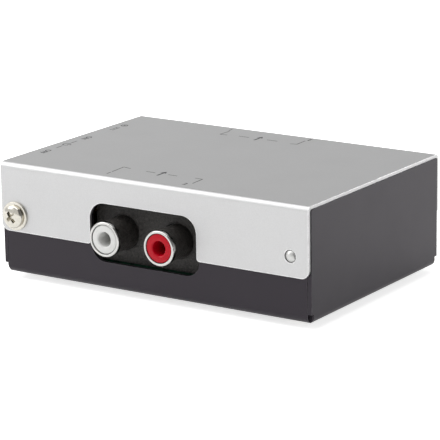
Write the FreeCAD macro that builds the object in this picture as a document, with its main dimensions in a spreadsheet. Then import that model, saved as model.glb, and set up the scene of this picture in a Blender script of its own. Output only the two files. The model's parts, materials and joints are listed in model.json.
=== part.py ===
import FreeCAD, Part
import math
import os
import Sketcher
from FreeCAD import Rotation, Vector

# Small phono preamp in a folded sheet case, in millimetres
# X runs along the front from left to right, Y away from the front, Z up from the table
# Places are given in the case frame, whose origin is the middle of the tray's underside

driving_sizes = {
    # Case, read from the photograph
    "case_width": 86.4,
    "case_depth": 59.0,
    "case_height": 27.3,
    "cover_sheet": 0.8,
    "tray_sheet": 1.0,
    "cover_gap": 0.1,
    "cover_side_step": 0.2,
    "cover_bend": 1.3,
    "tray_bend": 1.6,
    "front_flange_foot": 10.6,
    "back_flange_foot": 12.0,
    "flange_corner": 2.0,
    "corner_relief": 2.3,
    "corner_slit": 0.1,
    "tool_overrun": 1.0,
    # Stick-on feet
    "foot_height": 1.5,
    "foot_diameter": 8.0,
    "foot_inset": 10.0,
    "foot_bevel": 0.4,
    # Notch of the cover and window of the tray round each pair of jacks
    "notch_width": 29.85,
    "notch_rise": 7.15,
    "notch_corner": 4.0,
    "notch_lip": 0.8,
    "window_margin": 0.25,
    "window_drop": 7.2,
    "window_corner": 3.8,
    # Twin phono jacks
    "jacks_offset": -1.9,
    "jack_pitch": 15.3,
    "jack_height": 13.7,
    "jack_proud": 4.6,
    "shell_diameter": 8.3,
    "shell_cap": 1.25,
    "shell_edge": 0.2,
    "shell_wall": 0.18,
    "barrel_wall": 0.2,
    "barrel_groove": 0.35,
    "insulator_diameter": 6.85,
    "insulator_gap": 0.12,
    "insulator_recess": 0.15,
    "insulator_bore": 3.4,
    "insulator_chamfer": 0.35,
    "contact_recess": 5.0,
    "contact_length": 5.0,
    "contact_bore": 3.25,
    "contact_wall": 0.2,
    "tail_diameter": 1.0,
    "tail_reach": 0.8,
    "block_setback": 3.5,
    "block_width": 31.0,
    "block_depth": 11.0,
    "block_rise": 7.6,
    "block_drop": 7.3,
    "seat_gap": 0.03,
    # Ground terminal at the front left
    "ground_inset": 4.35,
    "ground_height": 14.5,
    "terminal_shank": 2.9,
    "terminal_bore": 3.0,
    "terminal_length": 11.4,
    "terminal_head": 5.5,
    "terminal_head_height": 1.45,
    "terminal_washer": 0.5,
    "terminal_washer_width": 7.0,
    "terminal_clearance": 0.25,
    "cross_width": 0.8,
    "cross_span": 3.4,
    "cross_depth": 1.1,
    "press_nut_flange": 6.0,
    "press_nut_shank": 4.2,
    "press_nut_height": 2.2,
    "lug_sheet": 0.8,
    "lug_diameter": 6.2,
    "lug_tail": 7.2,
    "lug_tail_width": 2.2,
    "lug_barrel": 3.4,
    "locknut_flats": 5.5,
    "locknut_height": 2.4,
    "wire_reach": 6.4,
    "wire_set_back": 2.4,
    "wire_diameter": 1.2,
    # Locating stud at the front right
    "stud_inset": 5.0,
    "stud_height": 15.4,
    "stud_diameter": 2.9,
    "stud_dome": 0.4,
    "stud_shank": 2.0,
    "stud_flange": 3.6,
    "stud_flange_height": 0.6,
    # Rear cover screws and the nuts pressed into the tray
    "rear_screw_inset": 5.4,
    "rear_screw_height": 15.2,
    "rear_screw_shank": 2.9,
    "rear_screw_bore": 3.0,
    "rear_screw_length": 5.5,
    "rear_screw_head": 5.5,
    "rear_screw_head_height": 1.9,
    "rear_cross_span": 3.2,
    "rear_cross_width": 0.7,
    "rear_cross_depth": 1.0,
    "rear_nut_flange": 6.0,
    "rear_nut_shank": 4.2,
    "rear_nut_height": 2.0,
    # Circuit board, its standoffs and screws
    "board_side_gap": 2.2,
    "board_end_gap": 2.1,
    "board_sheet": 1.6,
    "standoff_inset_x": 4.0,
    "standoff_inset_y": 3.1,
    "standoff_diameter": 5.0,
    "standoff_shank": 4.0,
    "standoff_bore": 2.7,
    "board_screw_shank": 2.6,
    "board_screw_head": 5.0,
    "board_screw_head_height": 1.8,
    "board_screw_length": 4.6,
    "board_screw_hole": 3.2,
    "lead_protrusion": 1.2,
    "lead_clearance": 0.15,
    "lead_diameter": 0.6,
    # Power slide switch on the left side
    "switch_offset": -7.2,
    "switch_rise": 4.2,
    "switch_travel": 4.0,
    "switch_length": 15.0,
    "switch_depth": 6.0,
    "switch_top": 7.8,
    "switch_wall": 0.8,
    "switch_gap": 0.3,
    "slide_gap": 0.2,
    "knob_length": 3.6,
    "knob_height": 3.0,
    "knob_proud": 1.5,
    "knob_margin": 0.4,
    "carriage_length": 5.6,
    "carriage_height": 4.4,
    # Direct current inlet on the left side
    "inlet_offset": 14.4,
    "inlet_rise": 6.2,
    "inlet_width": 9.0,
    "inlet_length": 14.0,
    "inlet_top": 10.8,
    "inlet_nose": 8.4,
    "inlet_bore": 6.3,
    "inlet_bore_depth": 9.5,
    "inlet_pin": 2.0,
    "inlet_pin_recess": 1.0,
    "inlet_pin_root": 2.0,
    "inlet_pin_root_diameter": 1.6,
    "inlet_spring_width": 2.0,
    "inlet_spring_sheet": 0.4,
    "inlet_spring_length": 6.0,
}


class Length:
    """A number of millimetres together with the sheet expression that it comes from."""

    def __init__(self, number, text):
        self.number = number
        self.text = text

    def __add__(self, other):
        other = as_length(other)
        return Length(self.number + other.number, f"({self.text} + {other.text})")

    def __sub__(self, other):
        other = as_length(other)
        return Length(self.number - other.number, f"({self.text} - {other.text})")

    def __mul__(self, factor):
        factor = as_length(factor)
        return Length(self.number * factor.number, f"({self.text} * {factor.text})")

    def __truediv__(self, factor):
        factor = as_length(factor)
        return Length(self.number / factor.number, f"({self.text} / {factor.text})")

    def __neg__(self):
        return Length(-self.number, f"(0 - {self.text})")

    def __radd__(self, other):
        return as_length(other) + self

    def __rsub__(self, other):
        return as_length(other) - self

    def __rmul__(self, factor):
        return as_length(factor) * self


def as_length(value):
    if isinstance(value, Length):
        return value
    return Length(float(value), f"({float(value)})")


doc = FreeCAD.newDocument("phono_preamp")
sheet = doc.addObject("Spreadsheet::Sheet", "sizes")


class Sizes:
    """Every driving size of the sheet as an attribute."""


d = Sizes()
for row, (alias, number) in enumerate(driving_sizes.items(), 1):
    sheet.set(f"A{row}", alias)
    sheet.set(f"B{row}", str(number))
    sheet.setAlias(f"B{row}", alias)
    setattr(d, alias, Length(float(number), f"sizes.{alias}"))
doc.recompute()

# Directions in which a turned piece's own +Z can point
upright = Rotation()
to_front = Rotation(Vector(1, 0, 0), 90)
to_back = Rotation(Vector(1, 0, 0), -90)
to_left = Rotation(Vector(0, 1, 0), -90)
to_right = Rotation(Vector(0, 1, 0), 90)

# The knob stands out at the left, so the case sits half of that right of the origin
case_x = d.knob_proud / 2

# Planes and heights that several pieces share
cover_face = d.case_depth / 2
panel_face = cover_face - d.cover_sheet - d.cover_gap
panel_back = panel_face - d.tray_sheet
side_face = d.case_width / 2
side_back = side_face - d.tray_sheet
tray_top = d.case_height - d.cover_sheet
board_top = d.jack_height - d.block_drop
board_foot = board_top - d.board_sheet
lead_tip = board_foot - d.lead_protrusion
board_width = (side_back - d.board_side_gap) * 2
board_depth = (panel_back - d.board_end_gap) * 2
ground_x = d.ground_inset - side_face
stud_x = side_face - d.stud_inset
rear_screw_x = side_face - d.rear_screw_inset
jack_spots = (("left", d.jacks_offset - d.jack_pitch / 2), ("right", d.jacks_offset + d.jack_pitch / 2))

nodes = []
lead_holes = []


def node(label, thing):
    """Names a finished sub-part."""
    thing.Label = label
    nodes.append(thing)
    return thing


def bind(thing, **values):
    for name, value in values.items():
        value = as_length(value)
        setattr(thing, name, value.number)
        thing.setExpression(name, value.text)


def place(thing, at, turn=upright):
    """Puts a thing at a point of the case frame, which stands on the feet."""
    point = [case_x + at[0], as_length(at[1]), d.foot_height + at[2]]
    thing.Placement = FreeCAD.Placement(Vector(*[value.number for value in point]), turn)
    for axis, value in zip("xyz", point):
        thing.setExpression("Placement.Base." + axis, value.text)
    return thing


# Plain solids
def block(name, low, size):
    thing = doc.addObject("Part::Box", name)
    bind(thing, Length=size[0], Width=size[1], Height=size[2])
    return place(thing, low)


def post(name, middle, low, size):
    """A box round an upright axis; middle is its X and Y, low its foot."""
    corner = (middle[0] - as_length(size[0]) / 2, middle[1] - as_length(size[1]) / 2, low)
    return block(name, corner, size)


def rod(name, radius, length, at, turn=upright):
    thing = doc.addObject("Part::Cylinder", name)
    bind(thing, Radius=radius, Height=length)
    return place(thing, at, turn)


def join(name, pieces):
    thing = doc.addObject("Part::MultiFuse", name)
    thing.Shapes = pieces
    return thing


def cut(name, base, tools):
    thing = doc.addObject("Part::Cut", name)
    thing.Base = base
    thing.Tool = tools[0] if len(tools) == 1 else join(name + "_tools", tools)
    return thing


def group(name, pieces):
    thing = doc.addObject("Part::Compound", name)
    thing.Links = pieces
    return thing


# Sketched solids
def sketch_on(body, name, role, lift=0):
    plane = [feature for feature in body.Origin.OriginFeatures if feature.Role == role][0]
    sketch = body.newObject("Sketcher::SketchObject", name)
    sketch.AttachmentSupport = (plane, [""])
    sketch.MapMode = "FlatFace"
    lift = as_length(lift)
    sketch.AttachmentOffset = FreeCAD.Placement(Vector(0, 0, lift.number), Rotation())
    sketch.setExpression("AttachmentOffset.Base.z", lift.text)
    return sketch


def fix_point(sketch, geometry, position, point, name):
    for kind, axis, value in (("DistanceX", "x", point[0]), ("DistanceY", "y", point[1])):
        value = as_length(value)
        rule = Sketcher.Constraint(kind, -1, 1, geometry, position, value.number)
        number = sketch.addConstraint(rule)
        sketch.renameConstraint(number, f"{name}_{axis}")
        sketch.setExpression(f"Constraints.{name}_{axis}", value.text)


def draw_polygon(sketch, corners):
    corners = [(as_length(a), as_length(b)) for a, b in corners]
    points = [Vector(a.number, b.number, 0) for a, b in corners]
    first = sketch.GeometryCount
    count = len(points)
    for i in range(count):
        sketch.addGeometry(Part.LineSegment(points[i], points[(i + 1) % count]), False)
    for i in range(count):
        following = first + (i + 1) % count
        sketch.addConstraint(Sketcher.Constraint("Coincident", first + i, 2, following, 1))
    for i in range(count):
        fix_point(sketch, first + i, 1, corners[i], f"corner_{first + i}")


def draw_rectangle(sketch, low, high):
    draw_polygon(sketch, [low, (high[0], low[1]), high, (low[0], high[1])])


def draw_circle(sketch, centre, radius):
    centre = (as_length(centre[0]), as_length(centre[1]))
    radius = as_length(radius)
    middle = Vector(centre[0].number, centre[1].number, 0)
    circle = sketch.addGeometry(Part.Circle(middle, Vector(0, 0, 1), radius.number), False)
    fix_point(sketch, circle, 3, centre, f"centre_{circle}")
    number = sketch.addConstraint(Sketcher.Constraint("Radius", circle, radius.number))
    sketch.renameConstraint(number, f"radius_{circle}")
    sketch.setExpression(f"Constraints.radius_{circle}", radius.text)


def pad(body, sketch, length, reverse=False):
    feature = body.newObject("PartDesign::Pad", sketch.Name + "_pad")
    feature.Profile = sketch
    feature.Reversed = reverse
    bind(feature, Length=length)
    return feature


def pocket(body, sketch, length=None, reverse=False):
    """Cuts a sketch to a depth, or right through the body without one."""
    feature = body.newObject("PartDesign::Pocket", sketch.Name + "_pocket")
    feature.Profile = sketch
    feature.Reversed = reverse
    if length is None:
        feature.Type = "ThroughAll"
    else:
        bind(feature, Length=length)
    return feature


def round_edges(body, name, base, radius, middles):
    """Rounds the edges whose middles are at the given points."""
    doc.recompute()
    targets = [Vector(*[as_length(value).number for value in middle]) for middle in middles]
    names = []
    for number, edge in enumerate(base.Shape.Edges, 1):
        if any(edge.BoundBox.Center.distanceToPoint(target) < 0.02 for target in targets):
            names.append(f"Edge{number}")
    if len(names) != len(targets):
        raise ValueError(f"{name} finds {len(names)} of {len(targets)} edges")
    feature = body.newObject("PartDesign::Fillet", name)
    feature.Base = (base, names)
    bind(feature, Radius=radius)
    return feature


def turned(name, corners, at, turn=upright):
    """A full turn of a profile of (radius, height) corners about the piece's own Z."""
    body = doc.addObject("PartDesign::Body", name)
    sketch = sketch_on(body, name + "_profile", "XZ_Plane")
    draw_polygon(sketch, corners)
    feature = body.newObject("PartDesign::Revolution", name + "_turning")
    feature.Profile = sketch
    feature.ReferenceAxis = (sketch, ["V_Axis"])
    feature.Angle = 360
    body.Tip = feature
    return place(body, at, turn)


def lead_hole(spot, width):
    """Notes a hole that the circuit board needs for a lead of this width."""
    lead_holes.append((spot, width / 2 + d.lead_clearance))


def lead(name, spot, top, diameter=d.lead_diameter):
    """A straight wire lead from a component's foot down through the board."""
    lead_hole(spot, diameter)
    return rod(name, diameter / 2, top - lead_tip, (spot[0], spot[1], lead_tip))


def strip(name, spot, width, sheet_size, top):
    """A flat contact strip, wide along X, down through the board."""
    lead_hole(spot, width)
    return post(name, spot, lead_tip, (width, sheet_size, top - lead_tip))


def wire(name, points, diameter, lift_to_case=True):
    """A round wire along straight runs that tangent arcs join."""
    shift = Vector(case_x.number, 0, d.foot_height.number) if lift_to_case else Vector()
    points = [Vector(*[as_length(value).number for value in point]) + shift for point in points]
    edges = []
    start = points[0]
    for before, here, after in zip(points, points[1:], points[2:]):
        back = before - here
        ahead = after - here
        turn = math.pi - back.getAngle(ahead)
        reach = 0.45 * min(back.Length, ahead.Length)
        back.normalize()
        ahead.normalize()
        enter = here + back * reach
        leave = here + ahead * reach
        inward = (back + ahead).normalize()
        radius = reach / math.tan(turn / 2)
        middle = here + inward * (radius / math.cos(turn / 2) - radius)
        edges.append(Part.LineSegment(start, enter).toShape())
        edges.append(Part.Arc(enter, middle, leave).toShape())
        start = leave
    edges.append(Part.LineSegment(start, points[-1]).toShape())
    path = Part.Wire(edges)
    along = points[1] - points[0]
    ring = Part.Wire([Part.Circle(points[0], along, diameter.number / 2).toShape()])
    thing = doc.addObject("Part::Feature", name)
    thing.Shape = path.makePipeShell([ring], True, False)
    expected = math.pi * diameter.number**2 / 4 * path.Length
    if abs(thing.Shape.Volume - expected) > 0.01 * expected:
        raise ValueError(f"{name} is not a full tube")
    return thing


# Cover: top plate with a front and a back flange
def make_cover():
    body = doc.addObject("PartDesign::Body", "cover")
    half = side_face - d.cover_side_step
    inner = cover_face - d.cover_sheet
    profile = sketch_on(body, "cover_profile", "YZ_Plane", -half)
    draw_polygon(profile, [
        (-cover_face, d.front_flange_foot),
        (-cover_face, d.case_height),
        (cover_face, d.case_height),
        (cover_face, d.back_flange_foot),
        (inner, d.back_flange_foot),
        (inner, tray_top),
        (-inner, tray_top),
        (-inner, d.front_flange_foot),
    ])
    folded = pad(body, profile, half * 2)
    bends = [(0, -cover_face, d.case_height), (0, cover_face, d.case_height)]
    folded = round_edges(body, "cover_bends", folded, d.cover_bend, bends)
    creases = [(0, -inner, tray_top), (0, inner, tray_top)]
    folded = round_edges(body, "cover_creases", folded, d.cover_bend - d.cover_sheet, creases)
    middle = cover_face - d.cover_sheet / 2
    corners = [(side, -middle, d.front_flange_foot) for side in (-half, half)]
    corners += [(side, middle, d.back_flange_foot) for side in (-half, half)]
    folded = round_edges(body, "flange_corners", folded, d.flange_corner, corners)
    # One notch in each flange, open at the flange's foot
    outside = cover_face + d.tool_overrun
    notch = sketch_on(body, "jack_notches", "XZ_Plane", outside)
    low = d.jacks_offset - d.notch_width / 2
    high = d.jacks_offset + d.notch_width / 2
    notch_top = d.jack_height + d.notch_rise
    draw_rectangle(notch, (low, d.front_flange_foot - d.tool_overrun), (high, notch_top))
    open_cover = pocket(body, notch)
    tops = [(x, y, notch_top) for x in (low, high) for y in (-middle, middle)]
    open_cover = round_edges(body, "notch_corners", open_cover, d.notch_corner, tops)
    feet = [(x, -middle, d.front_flange_foot) for x in (low, high)]
    feet += [(x, middle, d.back_flange_foot) for x in (low, high)]
    round_edges(body, "notch_lips", open_cover, d.notch_lip, feet)
    # Holes for the terminal and the stud at the front, and for the screws at the back
    front = sketch_on(body, "cover_front_holes", "XZ_Plane", outside)
    draw_circle(front, (ground_x, d.ground_height), d.terminal_bore / 2 + d.terminal_clearance)
    draw_circle(front, (stud_x, d.stud_height), d.stud_diameter / 2 + d.seat_gap)
    pocket(body, front, d.tool_overrun * 2 + d.cover_sheet)
    back = sketch_on(body, "cover_back_holes", "XZ_Plane", -outside)
    for side in (-1, 1):
        spot = (rear_screw_x * side, d.rear_screw_height)
        draw_circle(back, spot, d.rear_screw_bore / 2 + d.terminal_clearance)
    last = pocket(body, back, d.tool_overrun * 2 + d.cover_sheet, True)
    body.Tip = last
    node("top_cover", place(body, (0, 0, 0)))


# Tray: floor with four upright panels, open at the corners
def make_tray():
    body = doc.addObject("PartDesign::Body", "tray")
    plan = sketch_on(body, "tray_plan", "XY_Plane")
    draw_rectangle(plan, (-side_face, -panel_face), (side_face, panel_face))
    solid = pad(body, plan, tray_top)
    edges = [(0, -panel_face, 0), (0, panel_face, 0), (-side_face, 0, 0), (side_face, 0, 0)]
    round_edges(body, "tray_bends", solid, d.tray_bend, edges)
    inside = sketch_on(body, "tray_inside", "XY_Plane", tray_top)
    draw_rectangle(inside, (-side_back, -panel_back), (side_back, panel_back))
    hollow = pocket(body, inside, tray_top - d.tray_sheet)
    floor = d.tray_sheet
    creases = [(0, -panel_back, floor), (0, panel_back, floor)]
    creases += [(-side_back, 0, floor), (side_back, 0, floor)]
    round_edges(body, "tray_creases", hollow, d.tray_bend - d.tray_sheet, creases)
    # Relief at each lower corner, and the slit above it between the panels
    relief = sketch_on(body, "corner_reliefs", "XY_Plane")
    slits = sketch_on(body, "corner_slits", "XY_Plane")
    panel_end = side_back - d.corner_slit
    for side in (-1, 1):
        for end in (-1, 1):
            far = (side_face + d.tool_overrun, panel_face + d.tool_overrun)
            draw_rectangle(relief, (panel_end * side, panel_back * end), (far[0] * side, far[1] * end))
            draw_rectangle(slits, (panel_end * side, panel_back * end), (side_back * side, far[1] * end))
    pocket(body, relief, d.corner_relief, True)
    open_corners = pocket(body, slits, tray_top, True)
    # Upper edges rounded off to clear the cover's creases
    ends = [-panel_face, panel_face]
    edges = [(x, y, tray_top) for x in (-side_back - d.tray_sheet / 2, 0, side_back + d.tray_sheet / 2) for y in ends]
    crease = d.cover_bend - d.cover_sheet + d.cover_gap
    round_edges(body, "tray_upper_edges", open_corners, crease, edges)
    # Windows for the jacks in the front and back panels
    outside = cover_face + d.tool_overrun
    window = sketch_on(body, "jack_windows", "XZ_Plane", outside)
    reach = d.notch_width / 2 + d.window_margin
    low = (d.jacks_offset - reach, d.jack_height - d.window_drop)
    high = (d.jacks_offset + reach, d.jack_height + d.notch_rise + d.window_margin)
    draw_rectangle(window, low, high)
    windows = pocket(body, window)
    middle = panel_face - d.tray_sheet / 2
    corners = [(x, y, z) for x in (low[0], high[0]) for y in (-middle, middle) for z in (low[1], high[1])]
    round_edges(body, "window_corners", windows, d.window_corner, corners)
    # Front holes for the press nut and the stud, back holes for the screws' nuts
    front = sketch_on(body, "tray_front_holes", "XZ_Plane", outside)
    draw_circle(front, (ground_x, d.ground_height), d.press_nut_shank / 2 + d.seat_gap)
    draw_circle(front, (stud_x, d.stud_height), d.stud_shank / 2 + d.seat_gap)
    depth = outside - panel_back + d.tool_overrun
    pocket(body, front, depth)
    back = sketch_on(body, "tray_back_holes", "XZ_Plane", -outside)
    for side in (-1, 1):
        spot = (rear_screw_x * side, d.rear_screw_height)
        draw_circle(back, spot, d.rear_nut_shank / 2 + d.seat_gap)
    pocket(body, back, depth, True)
    # Left openings for the switch knob and the inlet
    left = sketch_on(body, "tray_left_holes", "YZ_Plane", -side_face - d.tool_overrun)
    slot_half = (d.switch_travel + d.knob_length) / 2 + d.knob_margin
    slot_rise = d.knob_height / 2 + d.knob_margin
    slot_z = board_top + d.switch_rise
    slot_low = (d.switch_offset - slot_half, slot_z - slot_rise)
    draw_rectangle(left, slot_low, (d.switch_offset + slot_half, slot_z + slot_rise))
    inlet_hole = d.inlet_nose / 2 + d.terminal_clearance
    draw_circle(left, (d.inlet_offset, board_top + d.inlet_rise), inlet_hole)
    pocket(body, left, d.tool_overrun * 2 + d.tray_sheet, True)
    # Floor holes in which the standoffs are pressed
    floor_holes = sketch_on(body, "standoff_holes", "XY_Plane")
    for spot in standoff_spots:
        draw_circle(floor_holes, spot, d.standoff_shank / 2 + d.seat_gap)
    last = pocket(body, floor_holes, d.tray_sheet + d.tool_overrun, True)
    body.Tip = last
    node("base_tray", place(body, (0, 0, 0)))


standoff_x = board_width / 2 - d.standoff_inset_x
standoff_y = board_depth / 2 - d.standoff_inset_y
standoff_spots = [(standoff_x * a, standoff_y * b) for a in (-1, 1) for b in (-1, 1)]


def make_feet():
    radius = d.foot_diameter / 2
    feet = []
    for a in (-1, 1):
        for b in (-1, 1):
            at = ((side_face - d.foot_inset) * a, (cover_face - d.foot_inset) * b, -d.foot_height)
            profile = [(0, 0), (radius - d.foot_bevel, 0), (radius, d.foot_bevel),
                       (radius, d.foot_height), (0, d.foot_height)]
            feet.append(turned("foot", profile, at))
    node("rubber_feet", group("feet", feet))


def make_stud():
    radius = d.stud_diameter / 2
    shank = d.stud_shank / 2
    face = d.cover_sheet + d.cover_gap
    top = face + d.stud_dome
    heel = -d.tray_sheet - d.stud_flange_height
    profile = [
        (0, heel),
        (d.stud_flange / 2, heel),
        (d.stud_flange / 2, -d.tray_sheet),
        (shank, -d.tray_sheet),
        (shank, 0),
        (radius, 0),
        (radius, face),
        (radius * 0.85, face + d.stud_dome * 0.55),
        (radius * 0.45, top - d.stud_dome * 0.1),
        (0, top),
    ]
    at = (stud_x, -panel_face, d.stud_height)
    node("locating_stud", turned("stud", profile, at, to_front))


def cross_cut(name, head, at, turn, top, span, width, depth):
    """Cuts a cross recess into a screw head whose top is at a height along its axis."""
    slots = []
    for length, breadth in ((span, width), (width, span)):
        slot = doc.addObject("Part::Box", name + "_slot")
        bind(slot, Length=length, Width=breadth, Height=depth + d.tool_overrun)
        corner = (-length / 2, -breadth / 2, top - depth)
        offset = turn.multVec(Vector(*[as_length(value).number for value in corner]))
        place(slot, at, turn)
        steps = turned_steps(turn, corner)
        for axis, start, step in zip("xyz", (case_x + at[0], as_length(at[1]), d.foot_height + at[2]), steps):
            slot.setExpression("Placement.Base." + axis, (start + step).text)
        slot.Placement.Base = slot.Placement.Base + offset
        slots.append(slot)
    return cut(name, head, slots)


def turned_steps(turn, corner):
    """The three parts of a turned corner, each a sum of the corner's own lengths."""
    steps = []
    columns = [turn.multVec(Vector(*unit)) for unit in ((1, 0, 0), (0, 1, 0), (0, 0, 1))]
    for axis in range(3):
        step = as_length(0)
        for column, value in zip(columns, corner):
            if abs(column[axis]) > 0.5:
                step = step + as_length(value) * round(column[axis])
        steps.append(step)
    return steps


def pan_head(radius, height, foot):
    """The outer corners of a pan head from its underside to its crown."""
    return [
        (radius, foot),
        (radius, foot + height * 0.5),
        (radius * 0.9, foot + height * 0.82),
        (radius * 0.66, foot + height),
        (0, foot + height),
    ]


# Ground terminal: captive screw and washer, press nut, lug, locknut and wire
def make_ground_terminal():
    at = (ground_x, -cover_face, d.ground_height)
    foot = d.terminal_washer
    shank = d.terminal_shank / 2
    profile = [(0, foot - d.terminal_length), (shank, foot - d.terminal_length), (shank, foot)]
    profile += pan_head(d.terminal_head / 2, d.terminal_head_height, foot)
    screw = turned("terminal", profile, at, to_front)
    top = foot + d.terminal_head_height
    crossed = cross_cut("terminal_cross", screw, at, to_front, top, d.cross_span, d.cross_width, d.cross_depth)
    node("ground_screw", crossed)
    bore = d.terminal_bore / 2
    outer = d.terminal_washer_width / 2
    ring = [(bore, 0), (outer, 0), (outer, d.terminal_washer), (bore, d.terminal_washer)]
    node("ground_washer", turned("terminal_ring", ring, at, to_front))
    at = (ground_x, -panel_face, d.ground_height)
    heel = -d.tray_sheet - d.press_nut_height
    nut = [
        (bore, heel),
        (d.press_nut_flange / 2, heel),
        (d.press_nut_flange / 2, -d.tray_sheet),
        (d.press_nut_shank / 2, -d.tray_sheet),
        (d.press_nut_shank / 2, 0),
        (bore, 0),
    ]
    node("ground_press_nut", turned("press_nut", nut, at, to_front))
    make_ground_lug(at, bore, heel)


def make_ground_lug(at, bore, heel):
    hole = bore + d.seat_gap * 2
    outer = d.lug_diameter / 2
    low = heel - d.lug_sheet
    ring = turned("lug_ring", [(hole, low), (outer, low), (outer, heel), (hole, heel)], at, to_front)
    plane = at[1] - low
    width = d.lug_tail_width
    start = at[0] + hole + d.seat_gap
    tail_size = (d.lug_tail - hole, d.lug_sheet, width)
    tail = block("lug_tail_plate", (start, plane - d.lug_sheet, at[2] - width / 2), tail_size)
    barrel_x = at[0] + d.lug_tail
    barrel_y = plane - d.lug_sheet / 2
    barrel = rod("lug_barrel_tube", width / 2, d.lug_barrel, (barrel_x, barrel_y, at[2]), to_right)
    node("ground_lug", join("lug", [ring, tail, barrel]))
    # Hexagonal locknut behind the lug
    body = doc.addObject("Part::Prism", "locknut_hexagon")
    body.Polygon = 6
    bind(body, Circumradius=d.locknut_flats / math.sqrt(3), Height=d.locknut_height)
    place(body, (at[0], at[1] - low, at[2]), to_back)
    drill = rod("locknut_drill", bore, d.locknut_height, (at[0], at[1] - low, at[2]), to_back)
    node("ground_locknut", cut("locknut", body, [drill]))
    # Wire from the lug's barrel down to the board
    start = (barrel_x + d.lug_barrel, barrel_y, at[2])
    end = (start[0] + d.wire_reach, barrel_y + d.wire_set_back)
    lead_hole(end, d.wire_diameter)
    fall = at[2] - board_foot
    points = [
        start,
        (start[0] + fall * 0.42, barrel_y, at[2]),
        (end[0], end[1], at[2] - fall * 0.36),
        (end[0], end[1], board_foot),
    ]
    node("ground_wire", wire("ground_lead", points, d.wire_diameter))


# Rear screws and the nuts that hold them
def make_rear_screws():
    screws = []
    nuts = []
    bore = d.rear_screw_bore / 2
    for side in (-1, 1):
        at = (rear_screw_x * side, cover_face, d.rear_screw_height)
        shank = d.rear_screw_shank / 2
        profile = [(0, -d.rear_screw_length), (shank, -d.rear_screw_length), (shank, 0)]
        profile += pan_head(d.rear_screw_head / 2, d.rear_screw_head_height, as_length(0))
        screw = turned("rear_screw", profile, at, to_back)
        cross = (d.rear_cross_span, d.rear_cross_width, d.rear_cross_depth)
        screws.append(cross_cut("rear_screw_cross", screw, at, to_back, d.rear_screw_head_height, *cross))
        heel = -d.tray_sheet - d.rear_nut_height
        profile = [
            (bore, heel),
            (d.rear_nut_flange / 2, heel),
            (d.rear_nut_flange / 2, -d.tray_sheet),
            (d.rear_nut_shank / 2, -d.tray_sheet),
            (d.rear_nut_shank / 2, 0),
            (bore, 0),
        ]
        nuts.append(turned("rear_nut", profile, (at[0], panel_face, at[2]), to_back))
    node("rear_cover_screws", group("rear_screws", screws))
    node("rear_press_nuts", group("rear_nuts", nuts))


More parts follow.
